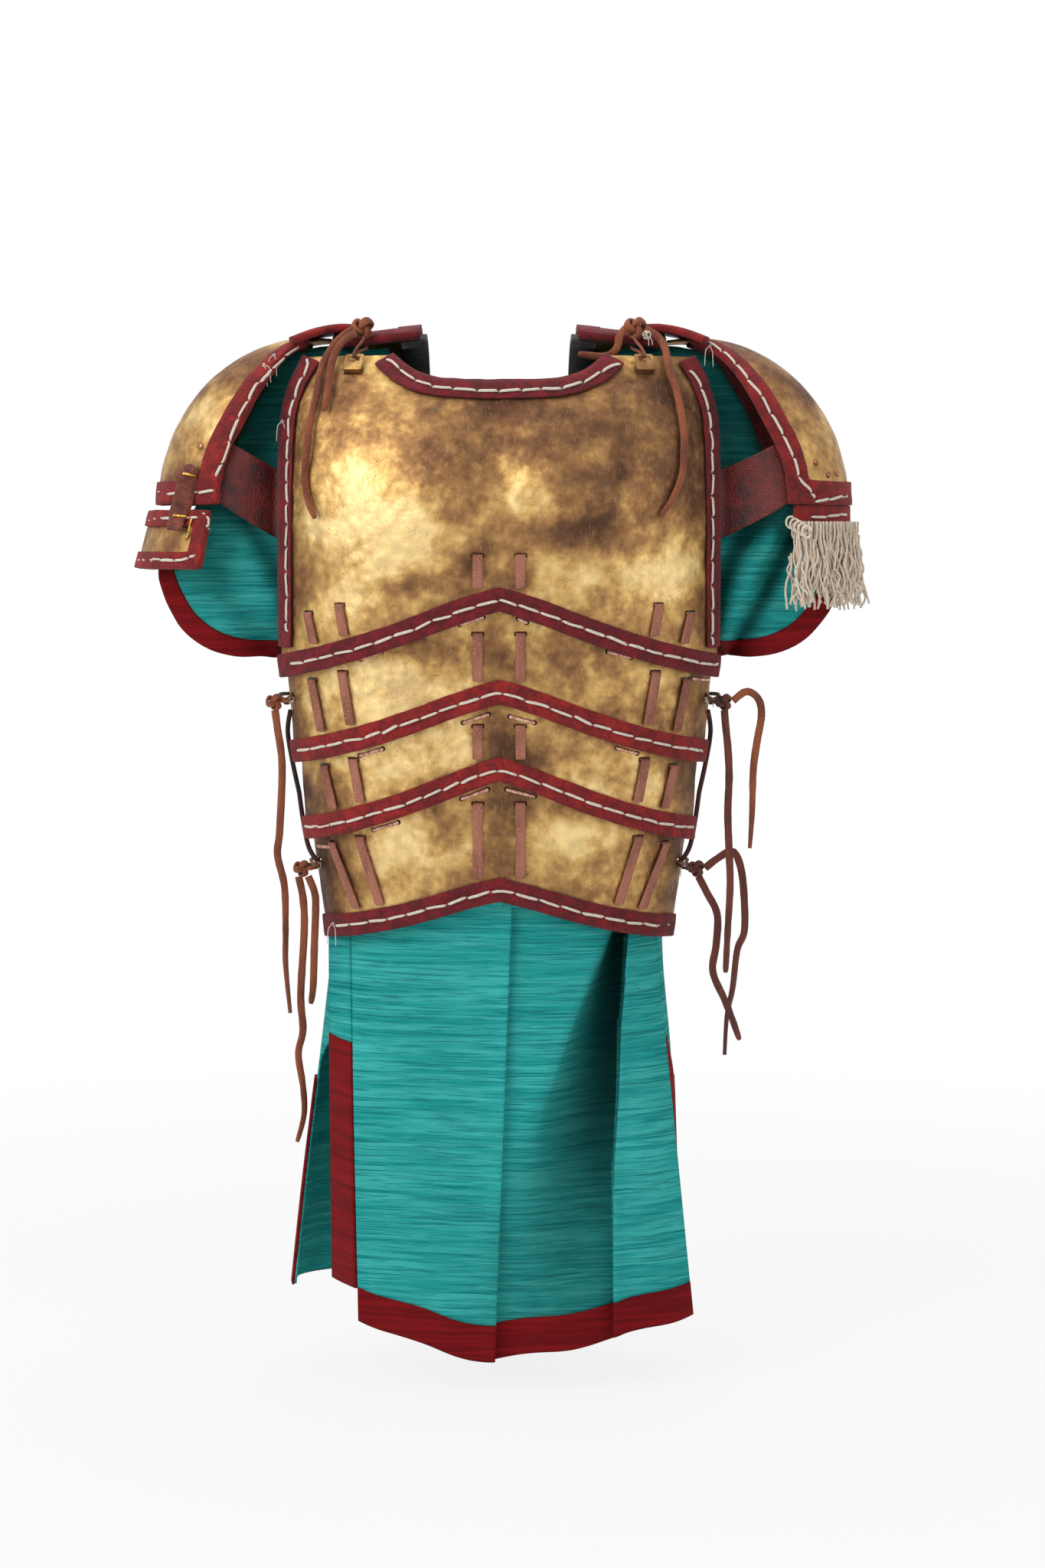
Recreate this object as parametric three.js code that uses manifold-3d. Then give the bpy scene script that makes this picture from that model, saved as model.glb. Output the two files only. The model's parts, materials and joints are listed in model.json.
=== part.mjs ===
// Bronze age style armour on its tunic, in millimetres. Front faces -Y, +X is the wearer's left, +Z is up.
// The origin is between the wearer's shoulders, at the height where the tunic rests on them.
import * as THREE from 'three';
import { mergeVertices } from 'three/addons/utils/BufferGeometryUtils.js';
import Module from 'manifold-3d';

const wasm = await Module();
wasm.setup();

// Sheet thicknesses and clearances
const BRASS = 1.2;
const SUEDE = 1.5;
const CLOTH = 2.4;
const CLOTH_PANEL = 2;
const GAP = 0.6;
const BIND_GAP = 1.3;
const BACK_BIND_GAP = 1.8;
const SEAM = 0.4;

// Torso section: half width, front and back depth at their fullest, and the height of the whole shell
const HALF_WIDTH = 203;
const FRONT_DEPTH = 130;
const BACK_DEPTH = 112;
const TORSO_HEIGHT = 520;
const SECTION_POWER_SHARE = 2.3;
const halfWidthShares = [
  [0, 0.945], [0.05, 0.955], [0.115, 0.98], [0.21, 1], [0.33, 1], [0.44, 0.995], [0.58, 0.98],
  [0.68, 0.956], [0.72, 0.942], [0.8, 0.93], [0.85, 0.921], [0.98, 0.872], [1.1, 0.85],
];
const frontDepthShares = [
  [0, 0.36], [0.048, 0.54], [0.115, 0.75], [0.21, 0.94], [0.33, 1], [0.44, 0.985], [0.58, 0.955],
  [0.71, 0.93], [0.85, 0.9], [1, 0.85],
];
const backDepthShares = [[0, 0.9], [0.115, 0.92], [0.25, 1], [0.4, 1], [0.58, 0.94], [0.77, 0.9], [1, 0.9]];

// Chest relief: two breast bulges and the hollow between them
const PEC_HEIGHT = 9;
const PEC_SPREAD_X = 52;
const PEC_SPREAD_Z = 42;
const PEC_X = 88;
const PEC_Z = -128;
const STERNUM_DEPTH = 5;
const STERNUM_SPREAD = 16;

// Chest plate outline
const CHEST_EDGE_X = 187;
const SHOULDER_EDGE_Z = -20;
const SHOULDER_OUTER_X = 167;
const NECK_HALF = 92;
const NECK_DROP = 25;
const NECK_POWER_SHARE = 5;
const ARMHOLE_ROUND = 57;
const ARMHOLE_POWER_SHARE = 1.8;

// Hoops: how far each plate sits inside the one above, and its hem
const NEST = 7.6;
const OVERLAP = 20;
const CHEST_DROP = 236;
const REVEAL_1 = 78;
const REVEAL_2 = 66;
const REVEAL_3 = 103;
const apexDrops = [CHEST_DROP, CHEST_DROP + REVEAL_1, CHEST_DROP + REVEAL_1 + REVEAL_2];
apexDrops.push(apexDrops[2] + REVEAL_3);
const CHEVRON_RISE = 60;
const chevronShares = [1.02, 0.95, 0.97, 0.66];
const hemHalfShares = [1, 0.941, 0.893, 0.797];
const topHalfShares = [1, 0.984, 0.92, 0.882];
const APEX_ROUND_SHARE = 0.07;
const HEM_BULGE_SHARE = 0.45;

// Back plate and its shoulder flaps
const BACK_HEM_DROP = 266;
const BACK_CHEVRON_SHARE = 0.3;
const BACK_NECK_Z = -36;
const BACK_NECK_DIP = 10;
const FLAP_INNER_X = 70;
const FLAP_OUTER_X = 143;
const FLAP_BEND_Z = -60;
const FLAP_TOP_Z = 8;
const FLAP_SLOPE_SHARE = 0.12;
const FLAP_CENTRE_Y = 5;
const FLAP_ARC = 80;
const FLAP_END_TURN_SHARE = 0.33;
const BACK_GAP_SHARE = 0.85;

// Bindings, thongs and their slots
const BIND_WIDTH = 18;
const THONG = 1.6;
const THONG_WIDTH = 8.5;
const SLOT_CLEAR = 0.7;
const SLOT_HEIGHT = 3.4;
const CENTRE_THONG_X = 18;
const innerThongShare = 0.72;
const outerThongShare = 0.865;
const thongLeanShares = [0.035, 0.055, 0.055, 0.15];
const SLOT_DROP_CENTRE = 17;
const SLOT_DROP_SIDE = 9;
const CHEST_SLOT_RISE = 49;

// Side rings, ties and free thong ends
const RING_RADIUS = 6.2;
const RING_WIRE = 1.1;
const RING_HOLE = 2.9;
const RING_INSET = 4.2;
const ringBackShare = 0.79;
const ringDropShare = 0.61;
const TIE_RADIUS = 1.8;
const tieKnotShare = [9, 1.5, 0];
const tieRingShares = [[9, 1.5, 0], [5.5, -4, 0], [1.6, -2.6, 0], [1.5, 2.6, 0], [2, 8, 0.6]];
const tieBackShares = [
  [1.19, 2.4, 1.2], [1.1, 2.4, 0.8], [1.04, 3, 0], [1, 2.2, 0], [1, -2.2, 0], [1.04, -3, 0],
  [1.08, -2.4, -1.4],
  [1.14, 1.5, -2], [1.22, 3.6, -1.6],
];
const TIE_HOLE = 4.3;
const KNOT_RADIUS = 7.5;
const END_WIDTH = 6.5;
const END_THICK = 3.6;

// Shoulder loops on the chest plate, and the ties through them
const SHOULDER_TIE_X = 116;
const SHOULDER_TIE_RADIUS = 1.5;
const SHOULDER_KNOT_LIFT = 12;
const LOOP_X = 124;
const LOOP_Z = -29;
const LOOP_WIDTH = 17;
const LOOP_HEIGHT = 17;
const LOOP_STAND = 5.6;
const LOOP_SLOT_WIDTH = 10;
const LOOP_SLOT_HEIGHT = 4.6;

// Pauldrons, arm lame, tab and fringe
const DOME_X = 165;
const DOME_Z = -146;
const DOME_WIDE = 135;
const DOME_DEEP = 95;
const DOME_HIGH = 145;
const LEFT_SHIFT = 8;
const domeEdgeShares = [
  [0, 0.62], [0.3, 0.6], [0.59, 0.55], [0.8, 0.4], [0.93, 0.22], [1.03, 0.13], [1.2, 0.12],
];
const LAME_TOP_GAP = 5;
const LAME_HEIGHT = 46;
const LAME_STEP = 6;
const LAME_FLARE = 12;
const LAME_EDGE_SHARE = 0.6;
const LAME_BIND = 12;
const TAB_WIDTH = 20;
const TAB_AZIMUTH_SHARE = 0.42;
const TAB_THICK = 2.6;
const TAB_TOP_Z = -113;
const TAB_BOTTOM_Z = -176;
const BAND_HEIGHT = 15;
const FRINGE_LENGTH = 72;
const FRINGE_THICK = 18;
const FRINGE_FLARE = 6;
const FRINGE_FRONT_SHARE = 0.6;
const FRINGE_END_SHARE = -0.1;
const FRINGE_BACK_SHARE = 0.5;

// Arm straps
const STRAP_WIDTH = 62;
const STRAP_THICK = 2.6;
const STRAP_DROP = 146;
const STRAP_CLEAR = 9.5;
const strapChestShares = [[0.82, 1.08, 0.66, 1], [0.94, 1.05, 1.3, 1]];
const strapSideShares = [[1.03, 1.01, 4.7, 0.96]];
const strapDomeShares = [
  [-0.66, 0.88, 1.5, 0.9], [-0.56, 0.8, 0.85, 0.8], [-0.45, 0.74, 0.7, 0.7], [-0.37, 0.71, 0.36, 0.6],
];

// Tunic
const TUNIC_INSET = 34;
const TUNIC_TOP_Z = -13;
const TUNIC_WAIST_Z = -548;
const SKIRT_TOP_Z = -532;
const FRONT_SKIRT_Z = -844;
const FRONT_BAND = 31;
const BACK_SKIRT_Z = -806;
const BACK_BAND = 25;
const SLIT_Z = -622;
const FACING_SHARE = 0.085;
const BACK_WRAP_SHARE = 1.09;
const WRAP_DRAW = 8;
const BACK_FLARE = 30;
const BACK_FOLD = 4;
const FRONT_LEFT_TOP = 128;
const FRONT_LEFT_FOOT = 121;
const FRONT_RIGHT_TOP = 136;
const FRONT_RIGHT_FOOT = 164;
const SKIRT_SIDE_RISE = 28;
const SKIRT_FLARE = 42;
const SKIRT_FRONT_FLARE = 12;
const FOLD_DEPTH = 9;
const CREASE_TOP_X = 8;
const CREASE_FOOT_X = -4;
const CREASE_SPREAD = 6;
const DEEP_FOLD_SHARE = 1.7;
const DEEP_FOLD_TOP_X = 102;
const DEEP_FOLD_FOOT_X = 92;
const DEEP_FOLD_SPREAD = 9;
const SWELL_PITCH = 70;
const SLEEVE_HEM_X = 234;
const SLEEVE_HEM_Z = -224;
const SLEEVE_ROOT_X = 100;
const SLEEVE_ROOT_Z = -52;
const SLEEVE_HALF = 66;
const SLEEVE_DEEP = 52;
const SLEEVE_BULGE = 32;
const SLEEVE_BAND = 18;
const sleeveHalfShares = [[0, 0.6], [0.3, 0.88], [0.6, 1], [1, 1]];
const sleeveDeepShares = [[0, 0.6], [0.6, 0.68], [0.75, 0.72], [1, 1]];
const NECK_HOLE_HALF = 98;
const NECK_HOLE_Z = -80;

// Neck padding
const PAD_WIDTH = 16;
const PAD_THICK = 7;
const PAD_OUT = 7;

const QUARTER = Math.PI / 2;
const vec = (x, y, z) => new THREE.Vector3(x, y, z);
const span = (count) => Array.from({ length: count + 1 }, (_, k) => k / count);
const mix = (a, b, t) => a + (b - a) * t;

// A smooth curve through a table of shares
function follow(shares, at) {
  const last = shares.length - 1;
  if (at <= shares[0][0]) return shares[0][1];
  if (at >= shares[last][0]) return shares[last][1];
  const k = shares.findIndex(([x]) => x > at);
  const slope = (i) => {
    const [a, b] = [shares[Math.max(i - 1, 0)], shares[Math.min(i + 1, last)]];
    return (b[1] - a[1]) / (b[0] - a[0]);
  };
  const width = shares[k][0] - shares[k - 1][0];
  const t = (at - shares[k - 1][0]) / width;
  const bow = width * t * (1 - t) * (slope(k - 1) * (1 - t) - slope(k) * t);
  return mix(shares[k - 1][1], shares[k][1], 3 * t ** 2 - 2 * t ** 3) + bow;
}

// A curved sheet: point(u, v) is its middle, and facing picks the side that looks outwards
class Sheet {
  constructor(point, facing) {
    this.point = point;
    this.facing = facing;
    this.nudgeShare = 0.0005;
  }

  tangents(u, v) {
    const n = this.nudgeShare;
    const across = this.point(u + n, v).sub(this.point(u - n, v)).divideScalar(2 * n);
    const down = this.point(u, v + n).sub(this.point(u, v - n)).divideScalar(2 * n);
    return [across, down];
  }

  normal(u, v) {
    const [across, down] = this.tangents(u, v);
    return across.cross(down).normalize().multiplyScalar(this.facing);
  }

  at(u, v, lift = 0) {
    return this.point(u, v).addScaledVector(this.normal(u, v), lift);
  }

  // The place on the sheet that lies a step away, for a step given in space
  walk(u, v, step, stages = 3) {
    const part = step.clone().divideScalar(stages);
    let place = [u, v];
    for (let k = 0; k < stages; k += 1) {
      const [a, d] = this.tangents(...place);
      const [aa, ad, dd] = [a.dot(a), a.dot(d), d.dot(d)];
      const [sa, sd] = [part.dot(a), part.dot(d)];
      const det = aa * dd - ad * ad;
      place = [place[0] + (sa * dd - sd * ad) / det, place[1] + (sd * aa - sa * ad) / det];
    }
    return place;
  }
}

// One closed body from points and triangles, turned so that its faces point out
function closedBody(points, faces) {
  const volume = faces.reduce((sum, [a, b, c]) => {
    return sum + points[a].dot(points[b].clone().cross(points[c]));
  }, 0);
  const geometry = new THREE.BufferGeometry();
  geometry.setAttribute('position', new THREE.Float32BufferAttribute(points.flatMap((p) => p.toArray()), 3));
  geometry.setIndex(volume < 0 ? faces.flatMap(([a, b, c]) => [a, c, b]) : faces.flat());
  return geometry;
}

// A sheet of even thickness over a grid of places, grid[column][row] = [u, v]
function plateBody(sheet, grid, thickness) {
  const [columns, rows] = [grid.length, grid[0].length];
  const side = (lift) => grid.flatMap((column) => column.map(([u, v]) => sheet.at(u, v, lift)));
  const points = [...side(thickness / 2), ...side(-thickness / 2)];
  const under = columns * rows;
  const id = (i, j) => i * rows + j;
  const faces = [];
  for (let i = 0; i + 1 < columns; i += 1) {
    for (let j = 0; j + 1 < rows; j += 1) {
      const [a, b, c, d] = [id(i, j), id(i + 1, j), id(i + 1, j + 1), id(i, j + 1)];
      faces.push([a, b, c], [a, c, d], [a + under, c + under, b + under], [a + under, d + under, c + under]);
    }
  }
  const rim = [];
  for (let i = 0; i < columns; i += 1) rim.push(id(i, 0));
  for (let j = 1; j < rows; j += 1) rim.push(id(columns - 1, j));
  for (let i = columns - 2; i >= 0; i -= 1) rim.push(id(i, rows - 1));
  for (let j = rows - 2; j > 0; j -= 1) rim.push(id(0, j));
  rim.forEach((a, k) => {
    const b = rim[(k + 1) % rim.length];
    faces.push([b, a, a + under], [b, a + under, b + under]);
  });
  return closedBody(points, faces);
}

// Rings of points joined in order, with flat ends, or closed on itself
function ringBody(rings, outline, loop = false) {
  const count = outline.length;
  const points = rings.flat();
  const faces = [];
  const steps = loop ? rings.length : rings.length - 1;
  for (let k = 0; k < steps; k += 1) {
    const next = (k + 1) % rings.length;
    for (let i = 0; i < count; i += 1) {
      const j = (i + 1) % count;
      const [a, b, c, d] = [k * count + i, k * count + j, next * count + j, next * count + i];
      faces.push([a, b, c], [a, c, d]);
    }
  }
  if (!loop) {
    const cap = THREE.ShapeUtils.triangulateShape(outline.map(([x, y]) => new THREE.Vector2(x, y)), []);
    const clockwise = THREE.ShapeUtils.area(outline.map(([x, y]) => new THREE.Vector2(x, y))) < 0;
    const last = (rings.length - 1) * count;
    cap.forEach(([a, b, c]) => {
      const turned = clockwise ? [a, c, b] : [a, b, c];
      faces.push([turned[0], turned[2], turned[1]]);
      faces.push(turned.map((i) => i + last));
    });
  }
  return closedBody(points, faces);
}

// A profile of [out, lift] pairs carried along a path of places on a sheet, mitred at its turns
function sweepOnSheet(sheet, path, profile, { loop = false, side = 1, widthAt = () => 1 } = {}) {
  const spots = path.map(([u, v]) => sheet.point(u, v));
  const count = path.length;
  const rings = path.map(([u, v], k) => {
    const normal = sheet.normal(u, v);
    const before = loop || k > 0 ? spots[k].clone().sub(spots[(k - 1 + count) % count]) : null;
    const after = loop || k < count - 1 ? spots[(k + 1) % count].clone().sub(spots[k]) : null;
    const runs = [before, after].filter(Boolean);
    const out = runs.map((run) => run.cross(normal).normalize().multiplyScalar(side));
    const middle = out.reduce((sum, one) => sum.add(one), vec(0, 0, 0)).normalize();
    const mitre = 1 / Math.max(middle.dot(out[0].clone().normalize()), 0.5);
    return profile.map(([e, h]) => {
      const reach = e < 0 ? e * widthAt(k / (count - 1)) : e;
      const step = middle.clone().multiplyScalar(reach * (out.length > 1 ? mitre : 1));
      return sheet.at(...sheet.walk(u, v, step), h);
    });
  });
  return ringBody(rings, profile, loop);
}

function bindingProfile(width, clear = BIND_GAP) {
  const inner = BRASS / 2 + clear;
  const outer = inner + SUEDE;
  const fold = GAP + SUEDE;
  return [
    [-width, outer], [fold, outer], [fold, -outer], [-width, -outer],
    [-width, -inner], [GAP, -inner], [GAP, inner], [-width, inner],
  ];
}

function asSolid(geometry) {
  const plain = geometry.clone();
  const extra = Object.keys(plain.attributes).filter((name) => name !== 'position');
  extra.forEach((name) => plain.deleteAttribute(name));
  const merged = mergeVertices(plain);
  const position = merged.getAttribute('position');
  return new wasm.Manifold(new wasm.Mesh({
    numProp: 3,
    vertProperties: new Float32Array(position.array),
    triVerts: new Uint32Array(merged.index.array),
  }));
}

function asGeometry(solid) {
  const mesh = solid.getMesh();
  const geometry = new THREE.BufferGeometry();
  geometry.setAttribute('position', new THREE.BufferAttribute(new Float32Array(mesh.vertProperties), 3));
  geometry.setIndex([...mesh.triVerts]);
  return geometry;
}

const joined = (bodies) => asGeometry(bodies.map(asSolid).reduce((sum, body) => sum.add(body)));
const cut = (body, tools) => (
  asGeometry(tools.map(asSolid).reduce((left, tool) => left.subtract(tool), asSolid(body)))
);

// A round tube along points, with the ends square to it
function tube(points, radius, { sides = 8, steps = points.length * 2, loop = false } = {}) {
  const section = span(sides - 1).map((t) => {
    const angle = t * (sides - 1) / sides * 2 * Math.PI;
    return [radius * Math.cos(angle), radius * Math.sin(angle)];
  });
  return ribbonAlong(points, section, { steps, loop });
}

// A section of [across, thick] pairs along a smooth curve, turned as little as can be
function ribbonAlong(points, section, { steps, loop = false, facing = null } = {}) {
  const curve = new THREE.CatmullRomCurve3(points, loop, 'centripetal');
  const places = span(steps).slice(0, loop ? steps : steps + 1);
  let across = null;
  const rings = places.map((t) => {
    const at = curve.getPointAt(t);
    const way = curve.getTangentAt(t);
    if (facing) across = facing.clone().cross(way).normalize();
    else if (across === null) {
      across = way.clone().cross(Math.abs(way.z) < 0.9 ? vec(0, 0, 1) : vec(0, 1, 0)).normalize();
    }
    else across = across.clone().addScaledVector(way, -across.dot(way)).normalize();
    const thick = way.clone().cross(across);
    return section.map(([a, b]) => at.clone().addScaledVector(across, a).addScaledVector(thick, b));
  });
  return ringBody(rings, section, loop);
}

const rectangle = (width, thickness) => [
  [-width / 2, -thickness / 2], [width / 2, -thickness / 2],
  [width / 2, thickness / 2], [-width / 2, thickness / 2],
];

const sides = [['right', -1], ['left', 1]];
const armour = new THREE.Group();
const finishes = {
  brass: [0xb58f4c, 0.38, 1],
  copper: [0xa8684a, 0.45, 1],
  suede: [0x8e1a26, 0.95, 0],
  strap: [0x701c18, 0.6, 0],
  thong: [0x9a5a48, 0.85, 0],
  cloth: [0x1f8f8a, 0.9, 0],
  band: [0x93151c, 0.9, 0],
  pad: [0x1c1417, 0.95, 0],
  string: [0xe8dcc4, 0.95, 0],
};

function add(name, geometry, finish) {
  const [color, roughness, metalness] = finishes[finish];
  const material = new THREE.MeshStandardMaterial({ color, roughness, metalness });
  const mesh = new THREE.Mesh(geometry, material);
  mesh.name = name;
  armour.add(mesh);
}

// The torso shell at a height and level: each level sits one nest further in
const downShare = (z) => -z / TORSO_HEIGHT;
const halfWidthAt = (v, inset) => HALF_WIDTH * follow(halfWidthShares, v) - inset;
const frontDepthAt = (v, inset) => FRONT_DEPTH * follow(frontDepthShares, v) - inset;
const backDepthAt = (v, inset) => BACK_DEPTH * follow(backDepthShares, v) - inset;
const gauss = (x, spread) => Math.exp(-0.5 * (x / spread) ** 2);

function relief(x, z) {
  const breast = PEC_HEIGHT * gauss(Math.abs(x) - PEC_X, PEC_SPREAD_X) * gauss(z - PEC_Z, PEC_SPREAD_Z);
  const sternum = STERNUM_DEPTH * gauss(x, STERNUM_SPREAD) * gauss(z - PEC_Z, PEC_SPREAD_Z);
  return breast - sternum;
}

function sectionRadius(angle, half, deep) {
  const p = SECTION_POWER_SHARE;
  return (Math.abs(Math.sin(angle) / half) ** p + Math.abs(Math.cos(angle) / deep) ** p) ** (-1 / p);
}

function frontSheet(inset, raised = false) {
  return new Sheet((u, v) => {
    const angle = u * QUARTER;
    const r = sectionRadius(angle, halfWidthAt(v, inset), frontDepthAt(v, inset));
    const [x, z] = [r * Math.sin(angle), -v * TORSO_HEIGHT];
    return vec(x, -r * Math.cos(angle) - (raised ? relief(x, z) * Math.cos(angle) ** 2 : 0), z);
  }, -1);
}

// Where the section reaches a given x, as a place on the sheet
function placeOn(x, z, inset, depthAt = frontDepthAt) {
  const v = downShare(z);
  const p = SECTION_POWER_SHARE;
  const half = halfWidthAt(v, inset);
  const share = Math.min(Math.abs(x) / half, 0.9999);
  const y = depthAt(v, inset) * (1 - share ** p) ** (1 / p);
  return [Math.atan2(x, y) / QUARTER, v];
}

// Hem of a plate: a chevron with a rounded apex, its height at a share of the half width
function hemZ(level, x) {
  const t = Math.min(Math.abs(x) / (CHEST_EDGE_X * hemHalfShares[level]), 1.1);
  const round = APEX_ROUND_SHARE;
  const eased = Math.sqrt(t ** 2 + round ** 2) - round;
  const fall = eased + HEM_BULGE_SHARE * eased * (1 - eased);
  return -apexDrops[level] - CHEVRON_RISE * chevronShares[level] * fall;
}

const hemHalf = (level) => CHEST_EDGE_X * hemHalfShares[level];

// Steps across a plate, closer together where it turns round the side
const spread = (count) => (
  span(count).map((t) => mix(-1, 1, t)).map((w) => 0.35 * w + 0.65 * Math.sin(w * QUARTER))
);
const hemPath = (level, count) => spread(count).map((share) => {
  const x = hemHalf(level) * share;
  return placeOn(x, hemZ(level, x), level * NEST);
});

// Chest plate: its upper edge runs up one armhole, along the shoulder, round the neck and down again
function armholeX(z) {
  const rise = Math.max((z - SHOULDER_EDGE_Z + ARMHOLE_ROUND) / ARMHOLE_ROUND, 0);
  return CHEST_EDGE_X - (CHEST_EDGE_X - SHOULDER_OUTER_X) * Math.min(rise, 1) ** ARMHOLE_POWER_SHARE;
}
const neckZ = (x) => SHOULDER_EDGE_Z - NECK_DROP * (1 - (Math.abs(x) / NECK_HALF) ** NECK_POWER_SHARE);
const armholeFootZ = hemZ(0, CHEST_EDGE_X - BIND_WIDTH) + BIND_WIDTH * 1.15;

function chestEdge() {
  const rise = (t) => 1 - (1 - t) ** 1.6;
  const armholeHeights = span(8).map((t) => mix(armholeFootZ, SHOULDER_EDGE_Z, rise(t)));
  const armhole = armholeHeights.map((z) => [armholeX(z), z]);
  const shoulder = [1, 2].map((k) => [mix(SHOULDER_OUTER_X, NECK_HALF, k / 3), SHOULDER_EDGE_Z]);
  const neck = span(5).map((t) => NECK_HALF * (1 - t ** 1.3)).map((x) => [x, neckZ(x)]);
  return { armhole, shoulder, neck };
}

function chestGrid() {
  const { armhole, shoulder, neck } = chestEdge();
  const half = [...armhole, ...shoulder, ...neck];
  const hemShares = spread(2 * half.length - 2).slice(half.length - 1).reverse();
  const hemX = hemShares.map((share) => CHEST_EDGE_X * share);
  const columns = half.map(([x, z], k) => span(7).map((t) => {
    const down = t ** 1.3;
    return placeOn(mix(x, hemX[k], down), mix(z, hemZ(0, hemX[k]), down), 0);
  }));
  const mirrored = columns.slice(0, -1).reverse().map((column) => column.map(([u, v]) => [-u, v]));
  return [...columns, ...mirrored].reverse();
}

const chest = frontSheet(0, true);

// Thong slots of a level: x and z of each slot and of the lower end of its thong
function thongsOf(level) {
  const half = level === 0 ? CHEST_EDGE_X : CHEST_EDGE_X * topHalfShares[level];
  const centre = CENTRE_THONG_X;
  const shares = [-outerThongShare, -innerThongShare, innerThongShare, outerThongShare];
  const places = [...shares.map((share) => half * share), -centre, centre].sort((a, b) => a - b);
  return places.map((x) => {
    const side = Math.abs(x) > 2 * centre;
    const drop = side ? SLOT_DROP_SIDE : SLOT_DROP_CENTRE;
    const slotZ = level === 0 ? hemZ(0, x) + CHEST_SLOT_RISE : hemZ(level - 1, x) - drop;
    const footX = side ? x * (1 - thongLeanShares[level]) : x;
    return { x, slotZ, footX, footZ: hemZ(level, footX) + BIND_WIDTH * 1.15 + GAP };
  });
}

function bar(sheet, from, to, inset, width, low, high, steps) {
  const path = span(steps).map((t) => placeOn(mix(from[0], to[0], t), mix(from[1], to[1], t), inset));
  const profile = [[-width / 2, low], [width / 2, low], [width / 2, high], [-width / 2, high]];
  return sweepOnSheet(sheet, path, profile);
}

function lacingOf(level, sheet) {
  const inset = level * NEST;
  const face = BRASS / 2 + BIND_GAP;
  const slots = thongsOf(level);
  const thongs = slots.map(({ x, slotZ, footX, footZ }) => {
    const half = THONG * 0.45;
    const [top, through] = [face + THONG, -face - half];
    const outline = [
      [1, face], [0.58, face], [0.2, face], [0, face, -half], [0, through, -half],
      [0, through, half], [0, top, half], [0.2, top], [0.58, top], [1, top],
    ];
    const edge = (shift) => outline.map(([t, lift, up = 0]) => {
      const place = placeOn(mix(x, footX, t), mix(slotZ, footZ, t) + up, inset);
      const step = sheet.tangents(...place)[0].setZ(0).setLength(THONG_WIDTH / 2).multiplyScalar(shift);
      return sheet.at(...sheet.walk(...place, step), lift);
    });
    const flat = outline.map(([t, lift, up = 0]) => [t * (slotZ - footZ) - up, lift]);
    return ringBody([edge(-1), edge(1)], flat);
  });
  const backing = slots.slice(1).map((slot, k) => {
    const [a, b] = [slots[k], slot];
    const steps = Math.max(2, Math.round((b.x - a.x) / (2.5 * THONG_WIDTH)));
    return bar(sheet, [a.x, a.slotZ], [b.x, b.slotZ], inset, THONG_WIDTH, -face - THONG, -face, steps);
  });
  return joined([...thongs, ...backing]);
}

function slotCutters(level, sheet) {
  const through = BRASS + GAP;
  return thongsOf(level).map(({ x, slotZ }) => {
    const half = SLOT_HEIGHT / 2;
    const wide = THONG_WIDTH + 3 * SLOT_CLEAR;
    return bar(sheet, [x, slotZ + half], [x, slotZ - half], level * NEST, wide, -through, through, 1);
  });
}

// Round hole through a sheet at a place
function holeCutter(sheet, place, radius) {
  const middle = sheet.at(...place);
  const normal = sheet.normal(...place);
  const peg = new THREE.CylinderGeometry(radius, radius, 6 * BRASS, 8);
  peg.applyQuaternion(new THREE.Quaternion().setFromUnitVectors(vec(0, 1, 0), normal));
  return peg.translate(...middle.toArray());
}

function addChest() {
  const { armhole, neck } = chestEdge();
  const loops = [-1, 1].map((side) => loopParts(side).cutter);
  const cutters = [...slotCutters(0, chest), ...loops];
  add('chest_plate', cut(plateBody(chest, chestGrid(), BRASS), cutters), 'brass');
  const onChest = (side) => ([x, z]) => placeOn(side * x, z, 0);
  const neckPath = [...neck.map(onChest(-1)), ...neck.slice(0, -1).reverse().map(onChest(1))];
  add('chest_neck_binding', sweepOnSheet(chest, neckPath, bindingProfile(BIND_WIDTH), { side: -1 }), 'suede');
  sides.forEach(([name, side]) => {
    const path = armhole.map(onChest(side));
    const binding = sweepOnSheet(chest, path, bindingProfile(BIND_WIDTH), { side });
    add(`chest_${name}_armhole_binding`, binding, 'suede');
  });
  add('chest_hem_binding', sweepOnSheet(chest, hemPath(0, 18), bindingProfile(BIND_WIDTH)), 'suede');
  add('chest_lacing', lacingOf(0, chest), 'thong');
}

// Brass loop: a tongue that stands off the chest plate, with an oval slot, and a foot through the plate
function loopParts(side) {
  const place = placeOn(side * LOOP_X, LOOP_Z, 0);
  const normal = chest.normal(...place);
  const across = vec(0, 0, 1).cross(normal).normalize();
  const up = normal.clone().cross(across).normalize();
  const frame = new THREE.Matrix4().makeBasis(across, up, normal).setPosition(chest.at(...place));
  const block = (wide, high, deep, y, z) => {
    return new THREE.BoxGeometry(wide, high, deep).translate(0, y, z).applyMatrix4(frame);
  };
  const foot = -LOOP_HEIGHT / 2 + BRASS;
  const tongue = block(LOOP_WIDTH, LOOP_HEIGHT, BRASS, 0, LOOP_STAND);
  const slot = block(LOOP_SLOT_WIDTH, LOOP_SLOT_HEIGHT, 4 * BRASS, LOOP_HEIGHT / 5, LOOP_STAND);
  const reach = LOOP_STAND + BRASS + GAP + BRASS;
  const stub = block(LOOP_WIDTH - 2 * BRASS, BRASS * 1.5, reach, foot, LOOP_STAND - reach / 2);
  const flange = block(LOOP_WIDTH - 2 * BRASS, 4 * BRASS, BRASS, foot, -BRASS - GAP);
  const [wide, high] = [LOOP_WIDTH - 2 * BRASS + 2 * SLOT_CLEAR, BRASS * 1.5 + 3 * SLOT_CLEAR];
  const cutter = block(wide, high, 6 * BRASS, foot, 0);
  return { body: joined([cut(tongue, [slot]), stub, flange]), cutter, frame };
}

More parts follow.
